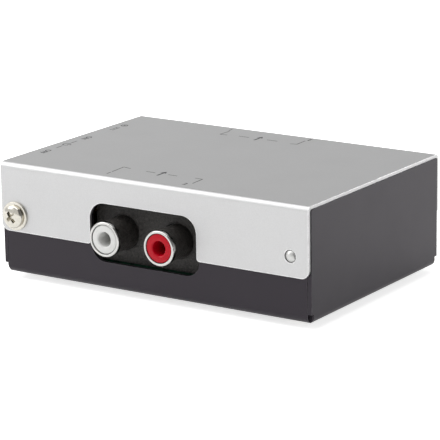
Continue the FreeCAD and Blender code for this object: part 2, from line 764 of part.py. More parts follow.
# Twin phono jacks, the same at the front and the back
def make_jacks(name, end, turn):
    """Builds one pair of jacks; end is -1 at the front and 1 at the back."""
    rear = cover_face - d.block_setback - d.block_depth
    length = d.block_depth + d.block_setback + d.jack_proud
    insulator = d.insulator_diameter / 2
    shell_in = insulator + d.insulator_gap
    shell_out = shell_in + d.shell_wall
    barrel_in = shell_out + d.seat_gap
    barrel_out = barrel_in + d.barrel_wall
    cap_foot = length - d.shell_cap
    tail = d.tail_diameter / 2
    jack_z = d.jack_height
    # Moulded block with its two barrels
    width = d.block_width
    low_y = rear if end > 0 else -rear - d.block_depth
    low = (d.jacks_offset - width / 2, low_y, board_top)
    body = block(name + "_moulding", low, (width, d.block_depth, d.block_drop + d.block_rise))
    grooves = []
    barrels = []
    bores = []
    for side, x in jack_spots:
        at = (x, rear * end, jack_z)
        foot = (x, (rear + d.block_depth - d.barrel_groove) * end, jack_z)
        grooves.append(rod(name + "_groove", barrel_out + d.barrel_groove, d.barrel_groove, foot, turn))
        barrels.append(rod(name + "_barrel", barrel_out, cap_foot, at, turn))
        bores.append(rod(name + "_bore", barrel_in, cap_foot, at, turn))
    moulding = join(name + "_barrelled", [cut(name + "_grooved", body, grooves)] + barrels)
    node(name + "_jack_block", cut(name + "_block", moulding, bores))
    contacts = []
    pins = []
    for side, x in jack_spots:
        at = (x, rear * end, jack_z)
        # Shell: tube along the barrel with a bright cap at the mouth
        cap = d.shell_diameter / 2
        profile = [
            (shell_in, 0),
            (shell_out, 0),
            (shell_out, cap_foot),
            (cap, cap_foot),
            (cap, length - d.shell_edge),
            (cap - d.shell_edge, length),
            (shell_in + d.shell_edge / 2, length),
            (shell_in, length - d.shell_edge / 2),
        ]
        node(f"{name}_{side}_shell", turned(f"{name}_{side}_tube", profile, at, turn))
        # Insulator with the seat of the centre contact
        face = length - d.insulator_recess
        bore = d.insulator_bore / 2
        contact_out = d.contact_bore / 2 + d.contact_wall
        seat = contact_out + d.seat_gap
        seat_top = face - d.contact_recess
        seat_foot = seat_top - d.contact_length
        profile = [
            (tail + d.seat_gap, 0),
            (insulator, 0),
            (insulator, face - d.insulator_chamfer / 2),
            (insulator - d.insulator_chamfer / 2, face),
            (bore + d.insulator_chamfer, face),
            (bore, face - d.insulator_chamfer),
            (bore, seat_top),
            (seat, seat_top),
            (seat, seat_foot),
            (tail + d.seat_gap, seat_foot),
        ]
        node(f"{name}_{side}_insulator", turned(f"{name}_{side}_bush", profile, at, turn))
        # Centre contact with its tail
        inner = d.contact_bore / 2
        profile = [
            (0, -d.tail_reach),
            (tail, -d.tail_reach),
            (tail, seat_foot),
            (contact_out, seat_foot),
            (contact_out, seat_top),
            (inner, seat_top),
            (inner, seat_foot + d.contact_wall * 2),
            (0, seat_foot + d.contact_wall * 2),
        ]
        contacts.append(turned(f"{name}_{side}_contact", profile, at, turn))
        # Signal strip behind the tail, ground strip behind the shell's tube
        strip_sheet = d.lead_diameter * 0.75
        signal_y = (rear - d.tail_reach - strip_sheet / 2) * end
        pins.append(strip(f"{name}_signal", (x, signal_y), d.tail_diameter, strip_sheet, jack_z + tail))
        shield_x = x + (shell_in + shell_out) / 2
        shield_y = (rear - strip_sheet / 2) * end
        pins.append(strip(f"{name}_shield", (shield_x, shield_y), d.tail_diameter, strip_sheet, jack_z + tail))
    node(f"{name}_centre_contacts", group(name + "_contacts", contacts))
    node(f"{name}_jack_pins", group(name + "_pins", pins))


# Power slide switch: frame, moving slider and pins
def make_switch():
    z = board_top + d.switch_rise
    y = d.switch_offset
    front = -side_back + d.switch_gap
    outer = (d.switch_depth, d.switch_length, d.switch_top)
    body = block("switch_case", (front, y - d.switch_length / 2, board_top), outer)
    room_length = d.switch_travel + d.carriage_length + d.slide_gap * 2
    room_height = d.carriage_height + d.slide_gap * 2
    room_depth = d.switch_depth - d.switch_wall * 2
    room_low = (front + d.switch_wall, y - room_length / 2, z - room_height / 2)
    room = block("switch_room", room_low, (room_depth, room_length, room_height))
    mouth_length = d.switch_travel + d.knob_length + d.slide_gap * 2
    mouth_height = d.knob_height + d.slide_gap * 2
    mouth_low = (front - d.tool_overrun, y - mouth_length / 2, z - mouth_height / 2)
    mouth_size = (d.tool_overrun + d.switch_wall * 1.5, mouth_length, mouth_height)
    mouth = block("switch_mouth", mouth_low, mouth_size)
    node("power_switch_frame", cut("switch_frame", body, [room, mouth]))
    # Slider at rest in its front position, which is off
    rest_y = y - d.switch_travel / 2
    carriage_low = (room_low[0] + d.slide_gap, rest_y - d.carriage_length / 2, z - d.carriage_height / 2)
    carriage_size = (room_depth - d.slide_gap * 2, d.carriage_length, d.carriage_height)
    carriage = block("switch_carriage", carriage_low, carriage_size)
    tip = -side_face - d.knob_proud
    stem_low = (tip, rest_y - d.knob_length / 2, z - d.knob_height / 2)
    stem = block("switch_stem", stem_low, (carriage_low[0] - tip + d.switch_wall, d.knob_length, d.knob_height))
    node("power_switch_slider", join("switch_slider", [carriage, stem]))
    pins = []
    x = front + d.switch_depth * 0.65
    pin_pitch = d.switch_length / 6
    for step in (-2, -1, 0, 1, 2):
        pins.append(lead("switch_pin", (x, y + pin_pitch * step), board_top))
    node("power_switch_pins", group("switch_pins", pins))


# Inlet: moulded body, centre pin, leaf spring and tails
def make_inlet():
    z = board_top + d.inlet_rise
    y = d.inlet_offset
    front = -side_back + d.seat_gap
    low = (front, y - d.inlet_width / 2, board_top)
    body = block("inlet_moulding", low, (d.inlet_length, d.inlet_width, d.inlet_top))
    nose = rod("inlet_collar", d.inlet_nose / 2, d.tray_sheet + d.tool_overrun, (-side_face, y, z), to_right)
    bore = rod("inlet_hollow", d.inlet_bore / 2, d.inlet_bore_depth, (-side_face, y, z), to_right)
    floor = -side_face + d.inlet_bore_depth
    pin = d.inlet_pin / 2
    root = d.inlet_pin_root
    root_side = d.inlet_pin_root_diameter / 2
    socket = rod("inlet_root", root_side + d.seat_gap, root, (floor, y, z), to_right)
    spring = (d.inlet_spring_length, d.inlet_spring_width, d.inlet_spring_sheet)
    channel = d.inlet_spring_sheet * 2
    channel_low = (floor - spring[0], y - spring[1] / 2, z - d.inlet_bore / 2 - channel)
    slot = block("inlet_channel", channel_low, (spring[0], spring[1], channel * 2))
    node("dc_inlet_body", cut("inlet_body", join("inlet_nosed", [body, nose]), [bore, socket, slot]))
    tip = d.inlet_bore_depth - d.inlet_pin_recess
    profile = [(0, -root), (root_side, -root), (root_side, 0), (pin, 0), (pin, tip - pin * 0.5), (pin * 0.6, tip), (0, tip)]
    node("dc_inlet_pin", turned("inlet_centre", profile, (floor, y, z), to_left))
    leaf_low = (channel_low[0] + d.seat_gap, channel_low[1] + d.seat_gap, channel_low[2])
    leaf_size = (spring[0] - d.seat_gap * 2, spring[1] - d.seat_gap * 2, spring[2])
    node("dc_inlet_spring", block("inlet_leaf", leaf_low, leaf_size))
    tail = d.tail_diameter
    back_x = front + d.inlet_length
    tails = [
        lead("inlet_tail", (back_x - tail, y), board_top, tail),
        lead("inlet_tail", (floor - tail * 2, y), board_top, tail),
        lead("inlet_tail", (floor - tail, y - d.inlet_width / 3), board_top, tail),
    ]
    node("dc_inlet_tails", group("inlet_tails", tails))


# Standoffs pressed into the floor, and the screws that hold the board on them
def make_standoffs():
    standoffs = []
    screws = []
    bore = d.standoff_bore / 2
    for spot in standoff_spots:
        at = (spot[0], spot[1], as_length(0))
        profile = [
            (bore, 0),
            (d.standoff_shank / 2, 0),
            (d.standoff_shank / 2, d.tray_sheet),
            (d.standoff_diameter / 2, d.tray_sheet),
            (d.standoff_diameter / 2, board_foot),
            (bore, board_foot),
        ]
        standoffs.append(turned("standoff", profile, at))
        shank = d.board_screw_shank / 2
        profile = [(0, board_top - d.board_screw_length), (shank, board_top - d.board_screw_length), (shank, board_top)]
        profile += pan_head(d.board_screw_head / 2, d.board_screw_head_height, board_top)
        screws.append(turned("board_screw", profile, at))
    node("board_standoffs", group("standoffs", standoffs))
    node("board_screws", group("screws", screws))


# Components on the board: their own sizes first, then their places
component_sizes = {
    "component_gap": 0.67,
    "chip_length": 9.6,
    "chip_width": 6.2,
    "chip_height": 3.2,
    "chip_lift": 0.7,
    "chip_pitch": 2.54,
    "chip_leg": 0.5,
    "supply_can": 8.0,
    "supply_can_height": 12.0,
    "coupling_can": 5.0,
    "coupling_can_height": 11.0,
    "can_rim": 0.5,
    "film_length": 7.2,
    "film_width": 3.5,
    "film_height": 8.0,
    "disc_diameter": 4.6,
    "disc_width": 1.8,
    "disc_lift": 1.0,
    "resistor_length": 6.3,
    "resistor_diameter": 2.3,
    "resistor_span": 10.0,
    "diode_length": 5.2,
    "diode_diameter": 2.7,
    "regulator_width": 4.6,
    "regulator_depth": 3.8,
    "regulator_height": 4.8,
    "regulator_lift": 2.0,
    "choke_diameter": 7.8,
    "choke_height": 7.5,
    "choke_waist": 5.6,
    "choke_flange": 1.1,
}
for row, (alias, number) in enumerate(component_sizes.items(), len(driving_sizes) + 1):
    sheet.set(f"A{row}", alias)
    sheet.set(f"B{row}", str(number))
    sheet.setAlias(f"B{row}", alias)
    setattr(d, alias, Length(float(number), f"sizes.{alias}"))
doc.recompute()

# Places on the board from the middle of the case
inlet_rear = -side_back + d.seat_gap + d.inlet_length
chip_spots = [(-9.5, -2.0), (5.7, -2.0)]
switch_rear = -side_back + d.switch_gap + d.switch_depth
supply_spots = [(inlet_rear + d.component_gap + d.supply_can / 2, 11.0), (19.4, 0.0)]
# The first coupling capacitor stands halfway between its neighbours
supply_edge = supply_spots[0][0] + d.supply_can / 2
coupling_spots = [((supply_edge - 5.0 - d.coupling_can / 2) / 2, 9.5), (-5.0, 9.5), (1.2, 9.5), (10.2, 9.5), (18.5, -8.0), (18.5, 8.0)]
film_spots = [(-14.5, -9.6), (-4.5, -9.6), (0.7, -9.6), (10.7, -9.6)]
disc_behind_switch = (switch_rear + d.component_gap + d.disc_diameter / 2, -6.6)
disc_spots = [(-17.5, 4.0), (13.7, 4.0), disc_behind_switch, (-24.3, 2.6)]
resistor_spots = [(29.0, -17.0 + 3.8 * step) for step in range(10)]
diode_spot = (-24.0, -3.2)
regulator_spot = (-24.5, -10.0)
choke_spot = (-31.0, 4.6)

component_leads = []


def make_chips():
    packages = []
    legs = []
    for x, y in chip_spots:
        low = board_top + d.chip_lift
        package = post("chip", (as_length(x), as_length(y)), low, (d.chip_length, d.chip_width, d.chip_height))
        packages.append(package)
        for step in (-1.5, -0.5, 0.5, 1.5):
            for side in (-1, 1):
                leg_y = y + (d.chip_width / 2 + d.chip_leg / 4) * side
                spot = (x + d.chip_pitch * step, leg_y)
                legs.append(strip("chip_leg_strip", spot, d.chip_leg, d.chip_leg / 2, low + d.chip_height / 2))
    node("opamp_packages", group("chips", packages))
    node("opamp_legs", group("chip_legs", legs))


def make_can(name, spot, diameter, height):
    """An upright electrolytic capacitor with a rolled rim, and its two leads."""
    radius = diameter / 2
    rim = d.can_rim
    profile = [
        (0, 0),
        (radius - rim, 0),
        (radius, rim),
        (radius, rim * 2),
        (radius - rim * 0.6, rim * 3),
        (radius, rim * 4),
        (radius, height - rim),
        (radius - rim, height),
        (0, height),
    ]
    gap = diameter / 5
    for side in (-1, 1):
        component_leads.append(lead("can_lead", (spot[0] + gap * side, as_length(spot[1])), board_top))
    return turned(name, profile, (as_length(spot[0]), spot[1], board_top))


def make_films():
    films = []
    for x, y in film_spots:
        size = (d.film_width, d.film_length, d.film_height)
        films.append(post("film", (as_length(x), as_length(y)), board_top, size))
        for side in (-1, 1):
            spot = (as_length(x), y + d.film_length * 0.35 * side)
            component_leads.append(lead("film_lead", spot, board_top))
    node("film_capacitors", group("films", films))


def make_discs():
    discs = []
    for x, y in disc_spots:
        z = board_top + d.disc_lift + d.disc_diameter / 2
        radius = d.disc_diameter / 2
        discs.append(rod("disc", radius, d.disc_width, (x, y - d.disc_width / 2, z), to_back))
        for side in (-1, 1):
            # The lead stops just under the round edge of the disc
            spot = (x + d.disc_diameter / 4 * side, as_length(y))
            top = z - radius * 0.95
            component_leads.append(lead("disc_lead", spot, top))
    node("ceramic_capacitors", group("discs", discs))


def make_axial(name, spot, length, diameter):
    """A lying component with a swollen end at each side and two bent leads."""
    x, y = spot
    radius = diameter / 2
    neck = radius * 0.82
    end = length / 5
    z = board_top + radius + d.seat_gap
    profile = [
        (0, 0),
        (radius - d.seat_gap * 3, 0),
        (radius, d.seat_gap * 3),
        (radius, end),
        (neck, end * 1.4),
        (neck, length - end * 1.4),
        (radius, length - end),
        (radius, length - d.seat_gap * 3),
        (radius - d.seat_gap * 3, length),
        (0, length),
    ]
    for side in (-1, 1):
        tip = x + d.resistor_span / 2 * side
        lead_hole((tip, as_length(y)), d.lead_diameter)
        points = [(x + length / 2 * side, y, z), (tip, y, z), (tip, y, lead_tip)]
        component_leads.append(wire(name + "_lead", points, d.lead_diameter))
    return turned(name, profile, (x - length / 2, y, z), to_right)


def make_regulator():
    x, y = regulator_spot
    low = board_top + d.regulator_lift
    radius = d.regulator_width / 2
    round_back = rod("regulator_round", radius, d.regulator_height, (x, y, low))
    window = (d.regulator_width, d.regulator_depth, d.regulator_height)
    flat = post("regulator_flat", (as_length(x), y + (d.regulator_depth - d.regulator_width) / 2), low, window)
    shape = doc.addObject("Part::Common", "regulator")
    shape.Base = round_back
    shape.Tool = flat
    node("voltage_regulator", shape)
    for step in (-1, 0, 1):
        spot = (x + d.chip_pitch / 2 * step, as_length(y))
        component_leads.append(lead("regulator_lead", spot, low, d.lead_diameter * 0.8))


def make_choke():
    x, y = choke_spot
    outer = d.choke_diameter / 2
    waist = d.choke_waist / 2
    rim = d.choke_flange
    top = d.choke_height
    profile = [
        (0, 0),
        (outer, 0),
        (outer, rim),
        (waist, rim),
        (waist, top - rim),
        (outer, top - rim),
        (outer, top),
        (0, top),
    ]
    node("filter_choke_core", turned("choke_core", profile, (x, y, board_top)))
    inner = waist + d.seat_gap
    coil = outer - d.choke_flange / 2
    profile = [(inner, rim), (coil, rim), (coil, top - rim), (inner, top - rim)]
    node("filter_choke_winding", turned("choke_coil", profile, (x, y, board_top)))
    for side in (-1, 1):
        component_leads.append(lead("choke_lead", (x + d.choke_waist / 3 * side, as_length(y)), board_top))


def make_components():
    make_chips()
    big = [make_can("supply_can", spot, d.supply_can, d.supply_can_height) for spot in supply_spots]
    node("supply_capacitors", group("supply_cans", big))
    small = [make_can("coupling_can", spot, d.coupling_can, d.coupling_can_height) for spot in coupling_spots]
    node("coupling_capacitors", group("coupling_cans", small))
    make_films()
    make_discs()
    resistors = []
    for spot in resistor_spots:
        resistors.append(make_axial("resistor", spot, d.resistor_length, d.resistor_diameter))
    node("resistors", group("resistor_bodies", resistors))
    node("polarity_diode", make_axial("diode", diode_spot, d.diode_length, d.diode_diameter))
    make_regulator()
    make_choke()
    node("component_leads", group("leads", component_leads))


# Circuit board with a hole for every lead and every screw
def make_board():
    size = (board_width, board_depth, d.board_sheet)
    plate = post("board_plate", (as_length(0), as_length(0)), board_foot, size)
    drills = []
    for spot in standoff_spots:
        drills.append((spot, d.board_screw_hole / 2))
    for spot, radius in lead_holes + drills:
        tool = (spot[0], spot[1], board_foot)
        tools.append(rod("board_drill", radius, d.board_sheet, tool))
    node("circuit_board", cut("board", plate, tools))


tools = []
make_tray()
make_cover()
make_feet()
make_stud()
make_ground_terminal()
make_rear_screws()
make_jacks("input", -1, to_front)
make_jacks("output", 1, to_back)
make_switch()
make_inlet()
make_standoffs()
make_components()
make_board()
doc.recompute()

# Nothing is written unless every object and every sub-part is sound
for thing in doc.Objects:
    if "Invalid" in thing.State or "Error" in thing.State:
        raise ValueError(f"{thing.Label} failed: {thing.State}")
    if thing.TypeId == "PartDesign::Pocket":
        if thing.Shape.Volume > thing.BaseFeature.Shape.Volume - 0.01:
            raise ValueError(f"{thing.Label} cuts nothing")

os.makedirs("parts", exist_ok=True)
for thing in nodes:
    shape = thing.Shape
    if shape.isNull() or not shape.isValid() or not shape.Solids:
        raise ValueError(f"{thing.Label} is not a sound solid")
for thing in nodes:
    thing.Shape.exportStep(f"parts/{thing.Label}.step")
    print(thing.Label, len(thing.Shape.Solids), round(thing.Shape.Volume, 2))
print(len(nodes), "sub-parts")
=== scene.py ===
import bmesh
import bpy
import json
import math
from mathutils import Matrix, Quaternion, Vector

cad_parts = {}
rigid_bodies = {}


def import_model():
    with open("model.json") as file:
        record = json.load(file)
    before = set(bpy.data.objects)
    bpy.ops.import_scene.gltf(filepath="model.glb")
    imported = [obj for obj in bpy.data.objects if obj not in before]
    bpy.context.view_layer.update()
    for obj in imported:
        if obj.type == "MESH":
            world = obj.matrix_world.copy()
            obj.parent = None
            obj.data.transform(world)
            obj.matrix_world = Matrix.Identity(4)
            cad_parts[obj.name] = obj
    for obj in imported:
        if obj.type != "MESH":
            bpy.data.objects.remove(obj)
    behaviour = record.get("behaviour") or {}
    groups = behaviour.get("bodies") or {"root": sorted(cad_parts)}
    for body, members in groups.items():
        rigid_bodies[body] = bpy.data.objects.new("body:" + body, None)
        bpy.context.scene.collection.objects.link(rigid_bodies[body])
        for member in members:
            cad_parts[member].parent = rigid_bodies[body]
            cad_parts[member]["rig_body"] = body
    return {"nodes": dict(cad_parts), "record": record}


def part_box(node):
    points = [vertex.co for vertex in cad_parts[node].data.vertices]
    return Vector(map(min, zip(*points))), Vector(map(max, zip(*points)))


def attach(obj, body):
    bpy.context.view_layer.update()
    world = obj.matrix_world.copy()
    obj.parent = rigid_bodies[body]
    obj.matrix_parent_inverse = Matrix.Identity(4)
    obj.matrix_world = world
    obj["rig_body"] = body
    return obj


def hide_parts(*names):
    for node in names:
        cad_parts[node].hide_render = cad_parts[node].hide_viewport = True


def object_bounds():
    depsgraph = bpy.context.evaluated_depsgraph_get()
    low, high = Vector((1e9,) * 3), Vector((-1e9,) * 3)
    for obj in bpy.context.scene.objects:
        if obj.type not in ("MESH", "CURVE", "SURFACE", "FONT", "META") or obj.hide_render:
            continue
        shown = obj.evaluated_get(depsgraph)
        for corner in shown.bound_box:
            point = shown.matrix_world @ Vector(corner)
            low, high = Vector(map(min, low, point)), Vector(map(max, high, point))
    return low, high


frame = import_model()
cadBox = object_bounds()
nodes = frame["nodes"]
scene = bpy.context.scene
mm = 0.001
print("frame loaded,", len(nodes), "nodes")


# Node helpers
def newGroup(name, inputs, outputs):
    tree = bpy.data.node_groups.new(name, "ShaderNodeTree")
    tree.interface.new_socket(name="Vector", in_out="INPUT", socket_type="NodeSocketVector")
    for label, value in inputs.items():
        socket = tree.interface.new_socket(name=label, in_out="INPUT", socket_type="NodeSocketFloat")
        socket.default_value = value
    for label in outputs:
        tree.interface.new_socket(name=label, in_out="OUTPUT", socket_type="NodeSocketFloat")
    return tree, tree.nodes.new("NodeGroupInput").outputs, tree.nodes.new("NodeGroupOutput").inputs


def plug(tree, socket, value):
    if isinstance(value, bpy.types.NodeSocket):
        tree.links.new(value, socket)
    elif value is not None:
        socket.default_value = value


def calc(tree, operation, first, second=None, clamp=False):
    node = tree.nodes.new("ShaderNodeMath")
    node.operation = operation
    node.use_clamp = clamp
    plug(tree, node.inputs[0], first)
    plug(tree, node.inputs[1], second)
    return node.outputs[0]


def ranged(tree, value, low, high, start=0.0, end=1.0):
    node = tree.nodes.new("ShaderNodeMapRange")
    for socket, amount in zip(node.inputs[:5], (value, low, high, start, end)):
        plug(tree, socket, amount)
    return node.outputs[0]


def noise(tree, vector, scale, detail=3.0, roughness=0.55):
    node = tree.nodes.new("ShaderNodeTexNoise")
    plug(tree, node.inputs["Vector"], vector)
    plug(tree, node.inputs["Scale"], scale)
    node.inputs["Detail"].default_value = detail
    node.inputs["Roughness"].default_value = roughness
    return node.outputs[0]


def mixColour(tree, factor, first, second, blend="MIX"):
    node = tree.nodes.new("ShaderNodeMix")
    node.data_type = "RGBA"
    node.blend_type = blend
    plug(tree, node.inputs[0], factor)
    plug(tree, node.inputs[6], first)
    plug(tree, node.inputs[7], second)
    return node.outputs[2]


def stretched(tree, vector, scale, turn=(0, 0, 0)):
    node = tree.nodes.new("ShaderNodeMapping")
    plug(tree, node.inputs["Vector"], vector)
    node.inputs["Scale"].default_value = scale
    node.inputs["Rotation"].default_value = turn
    return node.outputs[0]


# Fine grain of paint, moulding or metal: a shade round 1 and a height for the bump
grainLook = {"detail": 4.0, "roughness": 0.65, "range": (0.3, 0.7)}


def makeGrainGroup():
    tree, given, wanted = newGroup("surfaceGrain", {"Scale": 3000.0, "Contrast": 0.05}, ("Shade", "Height"))
    fine = noise(tree, given["Vector"], given["Scale"], grainLook["detail"], grainLook["roughness"])
    low = calc(tree, "SUBTRACT", 1.0, given["Contrast"])
    high = calc(tree, "ADD", 1.0, given["Contrast"])
    plug(tree, wanted["Shade"], ranged(tree, fine, *grainLook["range"], low, high))
    plug(tree, wanted["Height"], fine)
    return tree


# Smudges from handling and a few hairline scratches
marksLook = {
    "cloudScale": 70.0, "cloudDetail": 4.0, "cloudRange": (0.4, 0.7),
    "hairStretch": (60, 3200, 900), "hairTurn": (0.2, 0.1, 0.5), "hairRange": (0.7, 0.76),
    "patchScale": 120.0, "patchRange": (0.5, 0.65), "detail": 2.0,
}


def makeMarksGroup():
    look = marksLook
    inputs = {"Smudge": 0.05, "Scratch": 0.2}
    tree, given, wanted = newGroup("handlingMarks", inputs, ("Roughening", "Hairlines"))
    spot = given["Vector"]
    cloud = ranged(tree, noise(tree, spot, look["cloudScale"], look["cloudDetail"]), *look["cloudRange"])
    plug(tree, wanted["Roughening"], calc(tree, "MULTIPLY", cloud, given["Smudge"]))
    lines = noise(tree, stretched(tree, spot, look["hairStretch"], look["hairTurn"]), 1.0, look["detail"])
    thin = ranged(tree, lines, *look["hairRange"])
    patches = ranged(tree, noise(tree, spot, look["patchScale"], look["detail"]), *look["patchRange"])
    hairlines = calc(tree, "MULTIPLY", thin, patches)
    plug(tree, wanted["Hairlines"], calc(tree, "MULTIPLY", hairlines, given["Scratch"]))
    return tree


# Edge band: where a rounded normal leaves the flat one, broken up by noise. It marks rubbed wear, and on
# the cover it also carries a painted highlight along the edges
edgeBandLook = {"samples": 6, "likeness": (0.99, 0.85), "scale": 900.0, "range": (0.35, 0.65), "least": 0.3}


def makeEdgeGroup():
    look = edgeBandLook
    tree, given, wanted = newGroup("edgeWearAndHighlight", {"Radius": 0.0002, "Amount": 0.5}, ("Mask",))
    rounded = tree.nodes.new("ShaderNodeBevel")
    rounded.samples = look["samples"]
    plug(tree, rounded.inputs["Radius"], given["Radius"])
    flat = tree.nodes.new("ShaderNodeNewGeometry")
    likeness = tree.nodes.new("ShaderNodeVectorMath")
    likeness.operation = "DOT_PRODUCT"
    plug(tree, likeness.inputs[0], rounded.outputs[0])
    plug(tree, likeness.inputs[1], flat.outputs["Normal"])
    edge = ranged(tree, likeness.outputs["Value"], *look["likeness"])
    broken = ranged(tree, noise(tree, given["Vector"], look["scale"]), *look["range"], look["least"], 1.0)
    edgeBand = calc(tree, "MULTIPLY", edge, broken)
    plug(tree, wanted["Mask"], calc(tree, "MULTIPLY", edgeBand, given["Amount"], True))
    return tree


# Dust that lies on upward faces
dustLook = {"upward": (0.3, 1.0), "scale": 1600.0, "detail": 5.0, "roughness": 0.7, "range": (0.4, 0.75)}


def makeDustGroup():
    look = dustLook
    tree, given, wanted = newGroup("restingDust", {"Amount": 0.05}, ("Mask",))
    apart = tree.nodes.new("ShaderNodeSeparateXYZ")
    plug(tree, apart.inputs[0], tree.nodes.new("ShaderNodeNewGeometry").outputs["Normal"])
    upward = ranged(tree, apart.outputs["Z"], *look["upward"])
    specks = noise(tree, given["Vector"], look["scale"], look["detail"], look["roughness"])
    specks = ranged(tree, specks, *look["range"])
    resting = calc(tree, "MULTIPLY", upward, specks)
    plug(tree, wanted["Mask"], calc(tree, "MULTIPLY", resting, given["Amount"]))
    return tree


grainGroup = makeGrainGroup()
marksGroup = makeMarksGroup()
edgeGroup = makeEdgeGroup()
dustGroup = makeDustGroup()


def placeGroup(tree, group, vector, **values):
    node = tree.nodes.new("ShaderNodeGroup")
    node.node_tree = group
    plug(tree, node.inputs["Vector"], vector)
    for label, value in values.items():
        node.inputs[label].default_value = value
    return node.outputs


plainLook = {
    "base": (0.5, 0.5, 0.5), "worn": (0.8, 0.8, 0.8), "dusty": (0.5, 0.48, 0.45),
    "metallic": 0.0, "wornMetallic": 0.0, "roughness": 0.4, "grain": 3000.0, "contrast": 0.05,
    "bump": 0.1, "depth": 0.00002, "smudge": 0.05, "scratch": 0.1, "edge": 0.00015, "edgeAmount": 0.2,
    "dust": 0.03, "coat": 0.0, "specular": 0.5, "tint": (1, 1, 1),
}


# One finish: the plain look with its own changes, as grain, marks, edge wear and dust; on the cover the
# edge band is also a painted edge highlight
def makeFinish(name, pattern=None, **changes):
    look = {**plainLook, **changes}
    material = bpy.data.materials.new(name)
    material.use_nodes = True
    tree = material.node_tree
    shader = tree.nodes["Principled BSDF"]
    spot = tree.nodes.new("ShaderNodeTexCoord").outputs["Object"]
    grain = placeGroup(tree, grainGroup, spot, Scale=look["grain"], Contrast=look["contrast"])
    marks = placeGroup(tree, marksGroup, spot, Smudge=look["smudge"], Scratch=look["scratch"])
    edge = placeGroup(tree, edgeGroup, spot, Radius=look["edge"], Amount=look["edgeAmount"])
    dust = placeGroup(tree, dustGroup, spot, Amount=look["dust"])
    colour = pattern(tree, spot) if pattern else (*look["base"], 1)
    colour = mixColour(tree, 1.0, colour, grain["Shade"], "MULTIPLY")
    colour = mixColour(tree, marks["Hairlines"], colour, (*look["worn"], 1))
    # Edge band colour: rubbed metal, and on the cover a painted highlight along the edges
    colour = mixColour(tree, edge["Mask"], colour, (*look["worn"], 1))
    colour = mixColour(tree, dust["Mask"], colour, (*look["dusty"], 1))
    plug(tree, shader.inputs["Base Color"], colour)
    roughness = calc(tree, "ADD", marks["Roughening"], look["roughness"])
    roughness = calc(tree, "ADD", roughness, dust["Mask"], True)
    plug(tree, shader.inputs["Roughness"], roughness)
    if look["wornMetallic"] != look["metallic"]:
        metallic = ranged(tree, edge["Mask"], 0.0, 1.0, look["metallic"], look["wornMetallic"])
        plug(tree, shader.inputs["Metallic"], metallic)
    else:
        shader.inputs["Metallic"].default_value = look["metallic"]
    shader.inputs["Coat Weight"].default_value = look["coat"]
    shader.inputs["Specular IOR Level"].default_value = look["specular"]
    shader.inputs["Specular Tint"].default_value = (*look["tint"], 1)
    bump = tree.nodes.new("ShaderNodeBump")
    bump.inputs["Strength"].default_value = look["bump"]
    bump.inputs["Distance"].default_value = look["depth"]
    plug(tree, bump.inputs["Height"], grain["Height"])
    plug(tree, shader.inputs["Normal"], bump.outputs[0])
    return material


# Colour bands of the resistors in metres, each body with its own colours by its place in the row
bandLook = {
    "first": 0.0281, "step": 0.0011, "width": 0.0005, "count": 4, "pitch": 0.0038, "shuffle": 17.3,
    "body": (0.22, 0.42, 0.5, 1), "tint": (0.5, 0.3, 0.12, 1),
}


def resistorBands(tree, spot):
    look = bandLook
    apart = tree.nodes.new("ShaderNodeSeparateXYZ")
    plug(tree, apart.inputs[0], spot)
    colour = look["body"]
    row = calc(tree, "ROUND", calc(tree, "DIVIDE", apart.outputs["Y"], look["pitch"]))
    for step in range(look["count"]):
        start = look["first"] + look["step"] * step
        inside = calc(tree, "MULTIPLY", calc(tree, "GREATER_THAN", apart.outputs["X"], start),
                      calc(tree, "LESS_THAN", apart.outputs["X"], start + look["width"]))
        shuffle = tree.nodes.new("ShaderNodeTexWhiteNoise")
        shuffle.noise_dimensions = "1D"
        plug(tree, shuffle.inputs["W"], calc(tree, "ADD", row, step * look["shuffle"]))
        tint = mixColour(tree, 1.0, shuffle.outputs["Color"], look["tint"], "MULTIPLY")
        colour = mixColour(tree, inside, colour, tint)
    return colour


# Solder mask with lighter tracks under it
trackLook = {
    "cells": 240.0, "edge": (0.1, 0.13), "track": (0.012, 0.05, 0.03, 1), "mask": (0.004, 0.02, 0.012, 1),
}


def boardTracks(tree, spot):
    cells = tree.nodes.new("ShaderNodeTexVoronoi")
    cells.feature = "DISTANCE_TO_EDGE"
    cells.distance = "EUCLIDEAN"
    plug(tree, cells.inputs["Vector"], spot)
    cells.inputs["Scale"].default_value = trackLook["cells"]
    between = ranged(tree, cells.outputs["Distance"], *trackLook["edge"])
    return mixColour(tree, between, trackLook["track"], trackLook["mask"])


# Pale stripe down the +X side of each sleeve
sleeveLook = {"turn": 0.86, "sleeve": (0.02, 0.025, 0.05, 1), "stripe": (0.45, 0.47, 0.5, 1)}


def sleeveStripe(tree, spot):
    side = tree.nodes.new("ShaderNodeSeparateXYZ")
    plug(tree, side.inputs[0], tree.nodes.new("ShaderNodeNewGeometry").outputs["Normal"])
    stripe = calc(tree, "GREATER_THAN", side.outputs["X"], sleeveLook["turn"])
    return mixColour(tree, stripe, sleeveLook["sleeve"], sleeveLook["stripe"])


